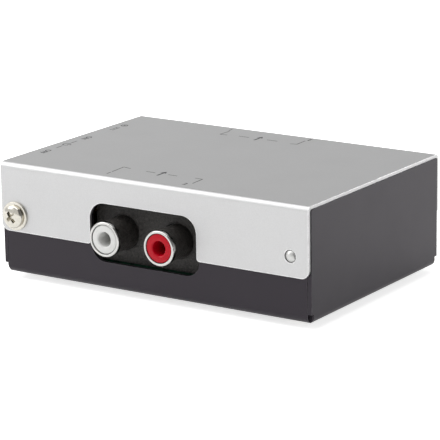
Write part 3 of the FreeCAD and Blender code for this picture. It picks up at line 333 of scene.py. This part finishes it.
# Finishes by material slot, and three more: bright shells, switch knob and print
finishes = {
    # The cover's edge band, 0.5 mm wide at full amount, near white and fully metallic, is a painted
    # highlight along every edge on top of edge wear
    "cover_silver": makeFinish(
        "coverSilver", base=(0.54, 0.54, 0.542), worn=(0.98, 0.98, 0.98), metallic=0.85, wornMetallic=1.0,
        roughness=0.4, grain=5200.0, bump=0.06, smudge=0.04, scratch=0.05, edge=0.0005, edgeAmount=1.0,
        dust=0.0),
    "tray_charcoal": makeFinish(
        "trayCharcoal", base=(0.0069, 0.006, 0.0083), worn=(0.3, 0.3, 0.31), wornMetallic=0.7,
        roughness=0.34, grain=4200.0, contrast=0.12, bump=0.12, scratch=0.03, edge=0.0002,
        edgeAmount=0.35, dust=0.0, specular=0.42, tint=(0.97, 0.87, 0.98)),
    "black_rubber": makeFinish(
        "blackRubber", base=(0.02, 0.02, 0.02), worn=(0.06, 0.06, 0.06), roughness=0.75, grain=2500.0,
        contrast=0.2, bump=0.2, edgeAmount=0.3),
    "board_green": makeFinish(
        "boardGreen", boardTracks, roughness=0.3, worn=(0.4, 0.38, 0.2), edgeAmount=0.3, coat=0.3,
        scratch=0.0),
    "plain_steel": makeFinish(
        "plainSteel", base=(0.55, 0.55, 0.54), worn=(0.75, 0.75, 0.75), metallic=1.0, wornMetallic=1.0,
        roughness=0.34, smudge=0.1, scratch=0.15),
    "warm_nickel": makeFinish(
        "warmNickel", base=(0.6, 0.575, 0.515), worn=(0.85, 0.83, 0.77), metallic=1.0, wornMetallic=1.0,
        roughness=0.09, grain=2200.0, contrast=0.06, bump=0.04, smudge=0.08, scratch=0.2, dust=0.0),
    "ring_nickel": makeFinish(
        "ringNickel", base=(0.56, 0.555, 0.54), worn=(0.8, 0.8, 0.78), metallic=1.0, wornMetallic=1.0,
        roughness=0.1, grain=2200.0, bump=0.03, smudge=0.06, scratch=0.15, dust=0.0),
    "black_moulding": makeFinish(
        "blackMoulding", base=(0.021, 0.0185, 0.0165), worn=(0.05, 0.048, 0.045), roughness=0.42,
        grain=1500.0, contrast=0.8, bump=1.0, depth=0.0004, edgeAmount=0.4),
    "barrel_moulding": makeFinish(
        "barrelMoulding", base=(0.012, 0.012, 0.013), worn=(0.05, 0.05, 0.05), roughness=0.22,
        grain=1500.0, contrast=0.1, bump=0.03, edgeAmount=0.3, dust=0.01),
    "white_insulator": makeFinish(
        "whiteInsulator", base=(0.6, 0.6, 0.585), worn=(0.7, 0.7, 0.68), roughness=0.3, grain=1500.0,
        contrast=0.02, bump=0.03, edgeAmount=0.15, dust=0.0),
    "red_insulator": makeFinish(
        "redInsulator", base=(0.4, 0.001, 0.01), worn=(0.5, 0.02, 0.04), roughness=0.22, grain=1500.0,
        bump=0.03, edgeAmount=0.15, dust=0.0, specular=0.2),
    "contact_brass": makeFinish(
        "contactBrass", base=(0.78, 0.72, 0.58), worn=(0.85, 0.8, 0.66), metallic=1.0, wornMetallic=1.0,
        roughness=0.28, smudge=0.12, scratch=0.2),
    "wire_green": makeFinish("wireGreen", base=(0.04, 0.26, 0.08), worn=(0.2, 0.4, 0.2), roughness=0.45),
    "black_chip": makeFinish(
        "blackChip", base=(0.018, 0.018, 0.02), worn=(0.1, 0.1, 0.1), roughness=0.55, grain=5000.0,
        contrast=0.2, bump=0.3),
    "can_sleeve": makeFinish("canSleeve", sleeveStripe, roughness=0.3, worn=(0.2, 0.2, 0.22)),
    "film_coating": makeFinish(
        "filmCoating", base=(0.42, 0.06, 0.03), worn=(0.6, 0.2, 0.15), roughness=0.3),
    "ceramic_tan": makeFinish(
        "ceramicTan", base=(0.46, 0.24, 0.08), worn=(0.6, 0.4, 0.2), roughness=0.5),
    "resistor_blue": makeFinish("resistorBlue", resistorBands, roughness=0.35, worn=(0.5, 0.6, 0.65)),
    "ferrite": makeFinish(
        "ferriteGrey", base=(0.045, 0.045, 0.05), worn=(0.15, 0.15, 0.16), roughness=0.5, contrast=0.2,
        bump=0.2),
    "copper_coil": makeFinish(
        "copperCoil", base=(0.5, 0.19, 0.07), worn=(0.7, 0.35, 0.15), metallic=0.9, wornMetallic=1.0,
        roughness=0.3, contrast=0.2),
    "print_ink": makeFinish(
        "printInk", base=(0.035, 0.035, 0.037), worn=(0.3, 0.3, 0.3), roughness=0.5, grain=6000.0,
        contrast=0.25, edgeAmount=0.0, dust=0.0),
}
print("finishes made,", len(finishes))


# Every CAD node takes the finish of its material slot in the record
slotOf = {part["node"]: part["material_slot"] for part in frame["record"]["subparts"]}
for name, node in nodes.items():
    node.data.materials.clear()
    node.data.materials.append(finishes[slotOf[name]])
print("CAD nodes dressed")


# Mesh helpers
sharpAngle = 30  # degrees between two faces, past which their edge is softened
flatAngle = 0.5  # degrees between two faces, under which a copy joins them
mergeTurned = 1e-7  # metres between points that count as one
mergeCopied = 1e-6


def addPiece(name, shape, finish, body, smooth=35):
    mesh = bpy.data.meshes.new(name)
    shape.to_mesh(mesh)
    shape.free()
    mesh.materials.append(finishes[finish])
    mesh.shade_smooth()
    mesh.set_sharp_from_angle(angle=math.radians(smooth))
    piece = bpy.data.objects.new(name, mesh)
    scene.collection.objects.link(piece)
    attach(piece, body)
    return piece


def softenEdges(shape, width, segments=2):
    sharp = [edge for edge in shape.edges
             if len(edge.link_faces) == 2 and edge.calc_face_angle(0) > math.radians(sharpAngle)]
    bmesh.ops.bevel(shape, geom=sharp, offset=width, offset_type="OFFSET", affect="EDGES",
                    segments=segments, profile=0.5, material=-1, clamp_overlap=True)


# Points of an arc about (across, up), between two angles from the up direction
def bend(across, up, reach, rise, start, end, steps):
    angles = [start + (end - start) * step / steps for step in range(steps + 1)]
    return [(across + reach * math.sin(angle), up + rise * math.cos(angle)) for angle in angles]


# A profile of (radius, height) corners in millimetres, turned about its axis and set along a direction
def turned(corners, at, direction, steps, closed=False, soften=0.0):
    shape = bmesh.new()
    points = [shape.verts.new((radius * mm, 0, height * mm)) for radius, height in corners]
    edges = [shape.edges.new(pair) for pair in zip(points, points[1:])]
    if closed:
        edges.append(shape.edges.new((points[-1], points[0])))
    bmesh.ops.spin(shape, geom=points + edges, cent=(0, 0, 0), axis=(0, 0, 1), angle=math.tau, steps=steps,
                   use_merge=True)
    bmesh.ops.remove_doubles(shape, verts=shape.verts, dist=mergeTurned)
    bmesh.ops.recalc_face_normals(shape, faces=shape.faces)
    if soften:
        softenEdges(shape, soften * mm, segments=3)
    turn = Vector(direction).to_track_quat("Z", "Y").to_matrix().to_4x4()
    shape.transform(Matrix.Translation(at) @ turn)
    return shape


def addInto(shape, other):
    mesh = bpy.data.meshes.new("loan")
    other.to_mesh(mesh)
    other.free()
    shape.from_mesh(mesh)
    bpy.data.meshes.remove(mesh)
    return shape


def bar(low, high, soften=0.0):
    shape = bmesh.new()
    bmesh.ops.create_cube(shape, size=1)
    size = Vector(high) - Vector(low)
    bmesh.ops.scale(shape, vec=size, verts=shape.verts)
    bmesh.ops.translate(shape, vec=(Vector(high) + Vector(low)) / 2, verts=shape.verts)
    if soften:
        softenEdges(shape, soften * mm)
    return shape


# A merged copy of a CAD node with its edges softened stands for the node
def softCopy(name, width):
    shape = bmesh.new()
    shape.from_mesh(nodes[name].data)
    bmesh.ops.remove_doubles(shape, verts=shape.verts, dist=mergeCopied)
    bmesh.ops.dissolve_limit(shape, angle_limit=math.radians(flatAngle), verts=shape.verts,
                             edges=shape.edges, delimit={"NORMAL"})
    softenEdges(shape, width * mm)
    piece = addPiece(name + "_soft", shape, slotOf[name], nodes[name]["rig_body"])
    weigh = piece.modifiers.new("flatFaces", "WEIGHTED_NORMAL")  # large faces stay flat beside their bevels
    weigh.keep_sharp = True
    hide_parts(name)


# Folded cover, tray, feet and mouldings keep their CAD shapes with softened edges, in millimetres
softWidths = {
    "top_cover": 0.22, "base_tray": 0.22, "rubber_feet": 0.15, "input_jack_block": 0.12,
    "output_jack_block": 0.12, "power_switch_frame": 0.12, "dc_inlet_body": 0.15,
    "opamp_packages": 0.1, "film_capacitors": 0.5,
}
for name, width in softWidths.items():
    softCopy(name, width)
print("soft copies made")


def boxMiddle(name):
    low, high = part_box(name)
    return (low + high) / 2


# Phono jacks: bright shell with a rounded mouth, and insulator with a chamfered bore, in millimetres
shellLook = {
    "capLength": 1.25, "tubeRadius": 3.725, "tubeInside": 3.545, "lip": 0.3, "lipSteps": 6,
    "mouth": 3.6, "mouthTop": 0.04, "mouthFoot": 0.13, "mouthSeat": 0.14, "steps": 96, "smooth": 28,
}
insulatorLook = {
    "recess": 0.15, "rim": 0.3, "rimBend": 0.09, "bore": 1.7, "chamfer": 0.35, "chamferBend": (0.1, 0.14),
    "depth": 5.6, "tailHole": 1.0, "colours": {"left": "white_insulator", "right": "red_insulator"},
}


def makeJack(end, side):
    low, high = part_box(f"{end}_{side}_shell")
    outward = Vector((0, -1 if end == "input" else 1, 0))
    rear = boxMiddle(f"{end}_{side}_shell")
    rear.y = high.y if end == "input" else low.y
    length = (high.y - low.y) / mm
    makeShell(end, side, rear, outward, length, (high.x - low.x) / 2 / mm)
    makeInsulator(end, side, rear, outward, length - insulatorLook["recess"])


# The mouth is bent in from the outside of the cap and comes down to the insulator
def makeShell(end, side, rear, outward, length, cap):
    look = shellLook
    foot = length - look["capLength"]
    lip = look["lip"]
    corners = [(look["tubeInside"], 0), (look["tubeRadius"], 0), (look["tubeRadius"], foot), (cap, foot)]
    corners += bend(cap - lip, length - lip, lip, lip, math.pi / 2, 0, look["lipSteps"])
    corners += [(look["mouth"], length - look["mouthTop"]), (look["mouth"], length - look["mouthFoot"]),
                (look["tubeInside"], length - look["mouthSeat"])]
    shell = turned(corners, rear, outward, look["steps"], closed=True)
    piece = addPiece(f"{end}_{side}_shell_bright", shell, "ring_nickel", "case",
                     smooth=look["smooth"])
    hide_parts(f"{end}_{side}_shell")


def makeInsulator(end, side, rear, outward, face):
    look = insulatorLook
    low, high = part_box(f"{end}_{side}_insulator")
    outer = (high.x - low.x) / 2 / mm
    rim = look["rim"]
    bore = look["bore"]
    floor = face - look["depth"]
    bendAcross, bendDown = look["chamferBend"]
    corners = [(look["tailHole"], 0), (outer, 0), (outer, face - rim),
               (outer - look["rimBend"], face - look["rimBend"]), (outer - rim, face),
               (bore + look["chamfer"], face), (bore + bendAcross, face - bendDown),
               (bore, face - look["chamfer"]), (bore, floor), (look["tailHole"], floor)]
    bush = turned(corners, rear, outward, shellLook["steps"], closed=True)
    colour = look["colours"][side]
    piece = addPiece(f"{end}_{side}_insulator_smooth", bush, colour, "case",
                     smooth=shellLook["smooth"])
    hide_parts(f"{end}_{side}_insulator")


for end in ("input", "output"):
    for side in ("left", "right"):
        makeJack(end, side)
print("jacks made")


# What the M3 screws share, in millimetres: the head's side as a share of its height, the taper of the
# recess, the core with its tip, and the thread
screwLook = {
    "side": 0.42, "foot": 0.15, "crownSteps": 8, "headSteps": 64, "clear": 1.0, "taper": (0.55, 0.6),
    "crest": 1.45, "root": 1.15, "pitch": 0.5, "tip": (0.05, 0.1), "sink": 0.02, "overlap": 0.05,
    "coreSteps": 32, "turnSteps": 28, "smooth": 30,
}


# Cross recess: two crossed wedges, narrower at the bottom
def crossCutter(look):
    shape = bmesh.new()
    top = look["headHeight"]
    for turn in (0, math.pi / 2):
        low = Vector((-look["span"] / 2, -look["width"] / 2, top - look["depth"])) * mm
        high = Vector((look["span"] / 2, look["width"] / 2, top + look["clear"])) * mm
        wing = bar(low, high)
        for vertex in wing.verts:
            if vertex.co.z < top * mm:
                vertex.co.x *= look["taper"][0]
                vertex.co.y *= look["taper"][1]
        wing.transform(Matrix.Rotation(turn, 4, "Z"))
        addInto(shape, wing)
    return shape


# The first shape less the second
def carve(shape, cutter):
    objects = []
    for label, source in (("carved", shape), ("cutter", cutter)):
        mesh = bpy.data.meshes.new(label)
        source.to_mesh(mesh)
        source.free()
        piece = bpy.data.objects.new(label, mesh)
        scene.collection.objects.link(piece)
        objects.append(piece)
    work = objects[0].modifiers.new("cut", "BOOLEAN")
    work.operation = "DIFFERENCE"
    work.solver = "EXACT"
    work.use_self = True
    work.object = objects[1]
    bpy.context.view_layer.update()
    result = bmesh.new()
    result.from_object(objects[0], bpy.context.evaluated_depsgraph_get())
    for piece in objects:
        mesh = piece.data
        bpy.data.objects.remove(piece)
        bpy.data.meshes.remove(mesh)
    return result


# Domed pan head with its foot at height 0, about +Z
def panHead(look, radius):
    height = look["headHeight"]
    side = height * look["side"]
    foot = look["foot"]
    crown = bend(0, side, radius, height - side, math.pi / 2, 0, look["crownSteps"])
    corners = [(0, 0), (radius - foot, 0), (radius, foot)] + crown
    head = turned(corners, (0, 0, 0), (0, 0, 1), look["headSteps"])
    return carve(head, crossCutter(look))


# Helical thread from a V of one pitch, round a plain core
def threadedShank(look, length):
    root, pitch, top = look["root"], look["pitch"], look["overlap"]
    tipIn, tipUp = look["tip"]
    core = [(0, -length), (root - tipIn, -length), (root, tipUp - length), (root, top), (0, top)]
    shape = turned(core, (0, 0, 0), (0, 0, 1), look["coreSteps"])
    rib = bmesh.new()
    valley = root - look["sink"]
    points = [rib.verts.new((radius * mm, 0, (rise - length) * mm))
              for radius, rise in ((valley, 0), (look["crest"], pitch / 2), (valley, pitch))]
    edges = [rib.edges.new(pair) for pair in zip(points, points[1:])]
    turns = int((top + length - pitch) / pitch)
    bmesh.ops.spin(rib, geom=points + edges, cent=(0, 0, 0), axis=(0, 0, 1), angle=math.tau * turns,
                   steps=look["turnSteps"] * turns, dvec=(0, 0, pitch / look["turnSteps"] * mm))
    bmesh.ops.remove_doubles(rib, verts=rib.verts, dist=mergeCopied)
    bmesh.ops.recalc_face_normals(rib, faces=rib.faces)
    return addInto(shape, rib)


# Ground screw and its washer, in millimetres; cross is the turn of the recess in degrees
terminalLook = {**screwLook, "headHeight": 1.45, "span": 3.9, "width": 1.15, "depth": 1.1, "cross": 38.0}
washerLook = {"bore": 1.55, "edge": 0.09, "steps": 72}


def makeGroundScrew():
    low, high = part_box("ground_screw")
    middle = boxMiddle("ground_screw")
    look = terminalLook
    seat = low.y + look["headHeight"] * mm
    screw = panHead(look, (high.x - low.x) / 2 / mm)
    screw.transform(Matrix.Rotation(math.radians(look["cross"]), 4, "Z"))
    addInto(screw, threadedShank(look, (high.y - seat) / mm))
    screw.transform(Matrix.Translation((middle.x, seat, middle.z)) @ Matrix.Rotation(math.pi / 2, 4, "X"))
    piece = addPiece("ground_screw_bright", screw, "warm_nickel", "terminal_screw",
                     smooth=look["smooth"])
    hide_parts("ground_screw")


def makeGroundWasher():
    low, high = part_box("ground_washer")
    middle = boxMiddle("ground_washer")
    outer = (high.x - low.x) / 2 / mm
    thick = (high.y - low.y) / mm
    bore = washerLook["bore"]
    ring = turned([(bore, 0), (outer, 0), (outer, thick), (bore, thick)], (middle.x, high.y, middle.z),
                  (0, -1, 0), washerLook["steps"], closed=True, soften=washerLook["edge"])
    piece = addPiece("ground_washer_bright", ring, "warm_nickel", "terminal_washer")
    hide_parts("ground_washer")


makeGroundScrew()
makeGroundWasher()

rearScrewLook = {**screwLook, "headHeight": 1.9, "span": 3.2, "width": 0.7, "depth": 0.95}


def makeRearScrews():
    low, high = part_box("rear_cover_screws")
    look = rearScrewLook
    radius = (high.z - low.z) / 2 / mm
    middleZ = (high.z + low.z) / 2
    seat = high.y - look["headHeight"] * mm
    screws = bmesh.new()
    for x in (low.x + radius * mm, high.x - radius * mm):
        screw = panHead(look, radius)
        addInto(screw, threadedShank(look, (seat - low.y) / mm))
        screw.transform(Matrix.Translation((x, seat, middleZ)) @ Matrix.Rotation(-math.pi / 2, 4, "X"))
        addInto(screws, screw)
    piece = addPiece("rear_cover_screws_bright", screws, "warm_nickel", "case",
                     smooth=look["smooth"])
    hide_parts("rear_cover_screws")


makeRearScrews()

# Locating stud: flange, shank, and a head with a domed end, in millimetres
studLook = {
    "flange": 1.8, "flangeHeight": 0.6, "shank": 1.0, "radius": 1.45, "headLength": 1.0, "dome": 0.7,
    "domeSteps": 8, "steps": 64, "smooth": 50,
}


def makeStud():
    low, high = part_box("locating_stud")
    middle = boxMiddle("locating_stud")
    look = studLook
    radius = look["radius"]
    length = (high.y - low.y) / mm
    headFoot = length - look["dome"] - look["headLength"]
    ball = (radius ** 2 + look["dome"] ** 2) / (2 * look["dome"])
    dome = bend(0, length - ball, ball, ball, math.asin(radius / ball), 0, look["domeSteps"])
    corners = [(0, 0), (look["flange"], 0), (look["flange"], look["flangeHeight"]),
               (look["shank"], look["flangeHeight"]), (look["shank"], headFoot), (radius, headFoot)] + dome
    stud = turned(corners, (middle.x, high.y, middle.z), (0, -1, 0), look["steps"])
    piece = addPiece("locating_stud_domed", stud, "plain_steel", "case",
                     smooth=look["smooth"])
    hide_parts("locating_stud")


makeStud()
print("screws and stud made")

# Slider: carriage from the CAD box, knob with ribs across its face, in millimetres
sliderLook = {
    "carriage": 1.2, "carriageEdge": 0.15, "knobLength": 3.6, "knobHeight": 3.0, "knobEdge": 0.18,
    "knobSink": 0.1, "ribs": 4, "ribProud": 0.35, "ribWidth": 0.42, "ribEdge": 0.1, "ribSink": 0.05,
    "ribShort": 0.2, "ribRow": 3.1,
}


def makeSlider():
    low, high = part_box("power_switch_slider")
    look = sliderLook
    middle = (low + high) / 2
    halfLength = look["knobLength"] / 2 * mm
    halfHeight = look["knobHeight"] / 2 * mm
    face = low.x + look["ribProud"] * mm
    seat = high.x - look["carriage"] * mm
    shape = bar((seat, low.y, low.z), high, look["carriageEdge"])
    addInto(shape, bar((face, middle.y - halfLength, middle.z - halfHeight),
                       (seat + look["knobSink"] * mm, middle.y + halfLength, middle.z + halfHeight),
                       look["knobEdge"]))
    halfRib = look["ribWidth"] / 2 * mm
    reach = halfHeight - look["ribShort"] * mm
    for step in range(look["ribs"]):
        y = middle.y + look["ribRow"] * (step / (look["ribs"] - 1) - 0.5) * mm
        addInto(shape, bar((low.x, y - halfRib, middle.z - reach),
                           (face + look["ribSink"] * mm, y + halfRib, middle.z + reach), look["ribEdge"]))
    piece = addPiece("power_switch_knob", shape, "barrel_moulding", "power_slider")
    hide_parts("power_switch_slider")


makeSlider()
print("slider made")

# Inked marks on the top, in millimetres: x from the middle of the cover, y from the origin
inkLook = {
    "line": 0.26, "thick": 0.02, "letter": 2.1, "weight": 0.045, "curveSteps": 3, "ringSteps": 24,
    "arrowLength": 3.6, "arrowLine": 0.5, "arrowHead": 0.95, "headBack": 0.6, "lineBack": 0.9, "smooth": 60,
}
frontMarks = {
    "words": {"1": (-13.7, -25.9), "2": (7.7, -25.7)},
    "lines": (((-13.75, -24.4), (-14.1, -19.3), (-11.8, -19.75)),
              ((8.9, -24.4), (8.64, -20.0), (6.6, -20.0)),
              ((-6.9, -20.3), (-4.4, -20.3)), ((-0.7, -20.3), (1.8, -20.3))),
    "arrow": (-2.55, -20.4),
}
backMarks = {
    "words": {"1": (-14.0, 26.1), "2": (9.0, 26.4)},
    "lines": (((-13.4, 24.7), (-13.6, 20.7), (-11.6, 20.9)), ((7.0, 20.6), (8.66, 20.9), (8.5, 24.9)),
              ((-8.35, 21.3), (-5.4, 21.3)), ((-0.15, 21.3), (2.8, 21.3))),
    "arrow": (-2.8, 21.3),
}
# Marks in a row along the left side, with their places along y
leftRow = -40.0
switchMarks = {
    "words": {"OFF": -15.7, "ON": 1.0}, "lines": ((-11.3, -8.9), (-5.4, -3.0)),
    "power": -7.15, "radius": 0.95, "gap": 0.6, "stem": (0.1, 1.35),
}
inletMarks = {
    "apart": 0.35, "line": (11.2, 14.4), "dashes": (11.2, 12.4, 13.6), "dash": 0.8,
    "plug": 17.0, "radius": 0.8, "pin": 0.3,
}
legends = bmesh.new()
caseMiddle = boxMiddle("top_cover")
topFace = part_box("top_cover")[1].z


def inkPlace(x, y, turn):
    return Matrix.Translation((caseMiddle.x + x * mm, y * mm, topFace)) @ Matrix.Rotation(turn, 4, "Z")


def inkText(words, x, y, turn):
    curve = bpy.data.curves.new("words", "FONT")
    curve.body = words
    curve.size = inkLook["letter"] * mm
    curve.align_x = "CENTER"
    curve.align_y = "CENTER"
    curve.extrude = inkLook["thick"] / 2 * mm
    curve.offset = inkLook["weight"] * mm
    curve.resolution_u = inkLook["curveSteps"]
    holder = bpy.data.objects.new("words", curve)
    scene.collection.objects.link(holder)
    bpy.context.view_layer.update()
    mesh = bpy.data.meshes.new_from_object(holder.evaluated_get(bpy.context.evaluated_depsgraph_get()))
    bpy.data.objects.remove(holder)
    bpy.data.curves.remove(curve)
    mesh.transform(inkPlace(x, y, turn))
    legends.from_mesh(mesh)
    bpy.data.meshes.remove(mesh)


def inkLine(*points, width=inkLook["line"]):
    half = inkLook["thick"] / 2 * mm
    for (x0, y0), (x1, y1) in zip(points, points[1:]):
        run = Vector((x1 - x0, y1 - y0, 0)) * mm
        stroke = bar((-run.length / 2, -width / 2 * mm, -half), (run.length / 2, width / 2 * mm, half))
        stroke.transform(inkPlace((x0 + x1) / 2, (y0 + y1) / 2, math.atan2(run.y, run.x)))
        addInto(legends, stroke)


def inkRing(x, y, radius, start, end):
    inkLine(*bend(x, y, radius, radius, start, end, inkLook["ringSteps"]))


def inkDisc(x, y, radius, sides):
    disc = bmesh.new()
    bmesh.ops.create_cone(disc, cap_ends=True, segments=sides, radius1=radius * mm, radius2=radius * mm,
                          depth=inkLook["thick"] * mm)
    disc.transform(inkPlace(x, y, 0))
    addInto(legends, disc)


# Arrow towards +Y, into the case at the front and out of it at the back
def inkArrow(x, y):
    half = inkLook["arrowLength"] / 2
    inkLine((x, y - half), (x, y + half - inkLook["lineBack"]), width=inkLook["arrowLine"])
    inkDisc(x, y + half - inkLook["headBack"], inkLook["arrowHead"], 3)


# A jack pair's numbers, with their leader lines, and its arrow
def inkJackMarks(marks, turn):
    for words, (x, y) in marks["words"].items():
        inkText(words, x, y, turn)
    for points in marks["lines"]:
        inkLine(*points)
    inkArrow(*marks["arrow"])


# Off and on, with a power mark between them
def inkSwitchMarks():
    marks = switchMarks
    for words, y in marks["words"].items():
        inkText(words, leftRow, y, -math.pi / 2)
    for start, end in marks["lines"]:
        inkLine((leftRow, start), (leftRow, end))
    side = math.pi / 2
    power = marks["power"]
    inkRing(leftRow, power, marks["radius"], side + marks["gap"], side + math.tau - marks["gap"])
    start, end = marks["stem"]
    inkLine((leftRow + start, power), (leftRow + end, power))


# Direct current, a line over dashes, and the plug's ring and pin
def inkInletMarks():
    marks = inletMarks
    start, end = marks["line"]
    inkLine((leftRow + marks["apart"], start), (leftRow + marks["apart"], end))
    for y in marks["dashes"]:
        inkLine((leftRow - marks["apart"], y), (leftRow - marks["apart"], y + marks["dash"]))
    inkRing(leftRow, marks["plug"], marks["radius"], 0, math.tau)
    inkDisc(leftRow, marks["plug"], marks["pin"], inkLook["ringSteps"])


inkJackMarks(frontMarks, 0)
inkJackMarks(backMarks, math.pi)
inkSwitchMarks()
inkInletMarks()
addPiece("top_legends", legends, "print_ink", "case", smooth=inkLook["smooth"])
print("legends made")


# White paper under the part
floorLook = {
    "colour": (0.9, 0.9, 0.9), "roughness": 0.9, "halfSize": 4, "squares": 8, "drop": 0.0001,
    "glow": 0.4, "seenGlow": 0.3,
}


def makeFloor():
    look = floorLook
    shape = bmesh.new()
    squares = look["squares"]
    bmesh.ops.create_grid(shape, x_segments=squares, y_segments=squares, size=look["halfSize"])
    bmesh.ops.translate(shape, vec=(0, 0, -look["drop"]), verts=shape.verts)
    mesh = bpy.data.meshes.new("floor")
    shape.to_mesh(mesh)
    shape.free()
    floor = bpy.data.objects.new("floor", mesh)
    scene.collection.objects.link(floor)
    paper = bpy.data.materials.new("floorPaper")
    paper.use_nodes = True
    tree = paper.node_tree
    shader = tree.nodes["Principled BSDF"]
    shader.inputs["Base Color"].default_value = (*look["colour"], 1)
    shader.inputs["Roughness"].default_value = look["roughness"]
    shader.inputs["Emission Color"].default_value = (1, 1, 1, 1)
    # Seen directly, the paper is lit a little more, so that it comes out white
    seen = tree.nodes.new("ShaderNodeLightPath").outputs["Is Camera Ray"]
    glow = ranged(tree, seen, 0.0, 1.0, look["glow"], look["glow"] + look["seenGlow"])
    plug(tree, shader.inputs["Emission Strength"], glow)
    # From underneath, the paper is clear
    under = tree.nodes.new("ShaderNodeNewGeometry").outputs["Backfacing"]
    plug(tree, shader.inputs["Alpha"], ranged(tree, under, 0.0, 1.0, 1.0, 0.0))
    mesh.materials.append(paper)


# Dark card on the paper, in front and to the right, which shows in reflections only. It is a sector
# about the origin, in metres, with its angles in degrees from the front
cardLook = {"near": 0.075, "far": 0.7, "start": 46.0, "end": 96.0, "rise": 0.0004}


def makeDarkCard():
    look = cardLook
    shape = bmesh.new()
    corners = []
    for reach, degrees in ((look["near"], look["start"]), (look["far"], look["start"]),
                           (look["far"], look["end"]), (look["near"], look["end"])):
        angle = math.radians(degrees)
        corners.append(shape.verts.new((reach * math.sin(angle), -reach * math.cos(angle), look["rise"])))
    shape.faces.new(corners)
    mesh = bpy.data.meshes.new("darkCard")
    shape.to_mesh(mesh)
    shape.free()
    mesh.materials.append(finishes["black_rubber"])
    card = bpy.data.objects.new("darkCard", mesh)
    scene.collection.objects.link(card)
    card.visible_camera = False
    card.visible_shadow = False
    card.visible_diffuse = False


# Sky that dims a little towards the top, with a dark wall high behind, another on the right, and a bright
# arch of reflectors on the left. Each is full where its ranges along the axes reach their second value
skyLook = {
    "heights": (0.1, 0.9), "low": 0.84, "high": 0.7, "wallShade": 0.6, "archGlow": 0.75,
    "behind": {"Y": (0.2, 0.6), "Z": (0.38, 0.55)},
    "right": {"X": (0.2, 0.4), "Z": (0.0, 0.15)},
    "arch": {"X": (-0.3, -0.5), "Y": (0.62, 0.45), "Z": (0.2, 0.4)},
}


def skyPart(tree, axes, ranges):
    mask = 1.0
    for axis, (start, end) in ranges.items():
        mask = calc(tree, "MULTIPLY", ranged(tree, axes[axis], start, end), mask)
    return mask


def makeSky():
    look = skyLook
    world = bpy.data.worlds.new("studio")
    world.use_nodes = True
    tree = world.node_tree
    apart = tree.nodes.new("ShaderNodeSeparateXYZ")
    plug(tree, apart.inputs[0], tree.nodes.new("ShaderNodeTexCoord").outputs["Generated"])
    axes = apart.outputs
    sky = ranged(tree, axes["Z"], *look["heights"], look["low"], look["high"])
    wall = calc(tree, "MAXIMUM", skyPart(tree, axes, look["behind"]), skyPart(tree, axes, look["right"]))
    sky = calc(tree, "SUBTRACT", sky, calc(tree, "MULTIPLY", wall, look["wallShade"]))
    arch = skyPart(tree, axes, look["arch"])
    sky = calc(tree, "ADD", sky, calc(tree, "MULTIPLY", arch, look["archGlow"]))
    tree.nodes["Background"].inputs["Color"].default_value = (1, 1, 1, 1)
    plug(tree, tree.nodes["Background"].inputs["Strength"], sky)
    scene.world = world
    scene.view_settings.view_transform = "Standard"


# Area lights by place, size in metres and power, all aimed at the middle of the part
lights = {
    "keyBox": {"at": (-0.58, -0.3, 0.85), "size": (0.8, 0.8), "power": 2.5},
    "topBox": {"at": (0.0, -0.4, 1.1), "size": (0.8, 0.8), "power": 3.2},
    "leftFill": {"at": (-0.4, -0.35, 0.25), "size": (0.2, 0.2), "power": 0.25},
    "sideBox": {"at": (0.7, 0.75, 0.3), "size": (0.4, 0.4), "power": 3.2},
}


def makeLights():
    aim = (cadBox[0] + cadBox[1]) / 2
    for name, look in lights.items():
        lamp = bpy.data.lights.new(name, "AREA")
        lamp.shape = "RECTANGLE"
        lamp.size, lamp.size_y = look["size"]
        lamp.energy = look["power"]
        holder = bpy.data.objects.new(name, lamp)
        scene.collection.objects.link(holder)
        holder.location = look["at"]
        holder.rotation_euler = (aim - Vector(look["at"])).to_track_quat("-Z", "Y").to_euler()


# Angles in degrees, from the front and up; distance and target in metres; lens and sensor in millimetres
cameraLook = {
    "azimuth": 33.85134, "elevation": 14.79087, "roll": -0.89635, "distance": 0.5963,
    "target": (0.000636, 0.0, 0.013397), "lens": 203.878, "sensor": 36, "near": 0.01,
}


def makeCamera():
    look = cameraLook
    azimuth = math.radians(look["azimuth"])
    elevation = math.radians(look["elevation"])
    level = Vector((math.sin(azimuth), -math.cos(azimuth), 0))
    back = level * math.cos(elevation) + Vector((0, 0, math.sin(elevation)))
    camera = bpy.data.objects.new("camera", bpy.data.cameras.new("camera"))
    scene.collection.objects.link(camera)
    camera.data.lens = look["lens"]
    camera.data.sensor_width = look["sensor"]
    camera.data.clip_start = look["near"]
    camera.location = Vector(look["target"]) + back * look["distance"]
    camera.rotation_mode = "QUATERNION"
    roll = Quaternion((0, 0, 1), math.radians(look["roll"]))
    camera.rotation_quaternion = (-back).to_track_quat("-Z", "Y") @ roll
    scene.camera = camera


makeFloor()
makeDarkCard()
makeSky()
makeLights()
makeCamera()
print("stage, lights and camera made")
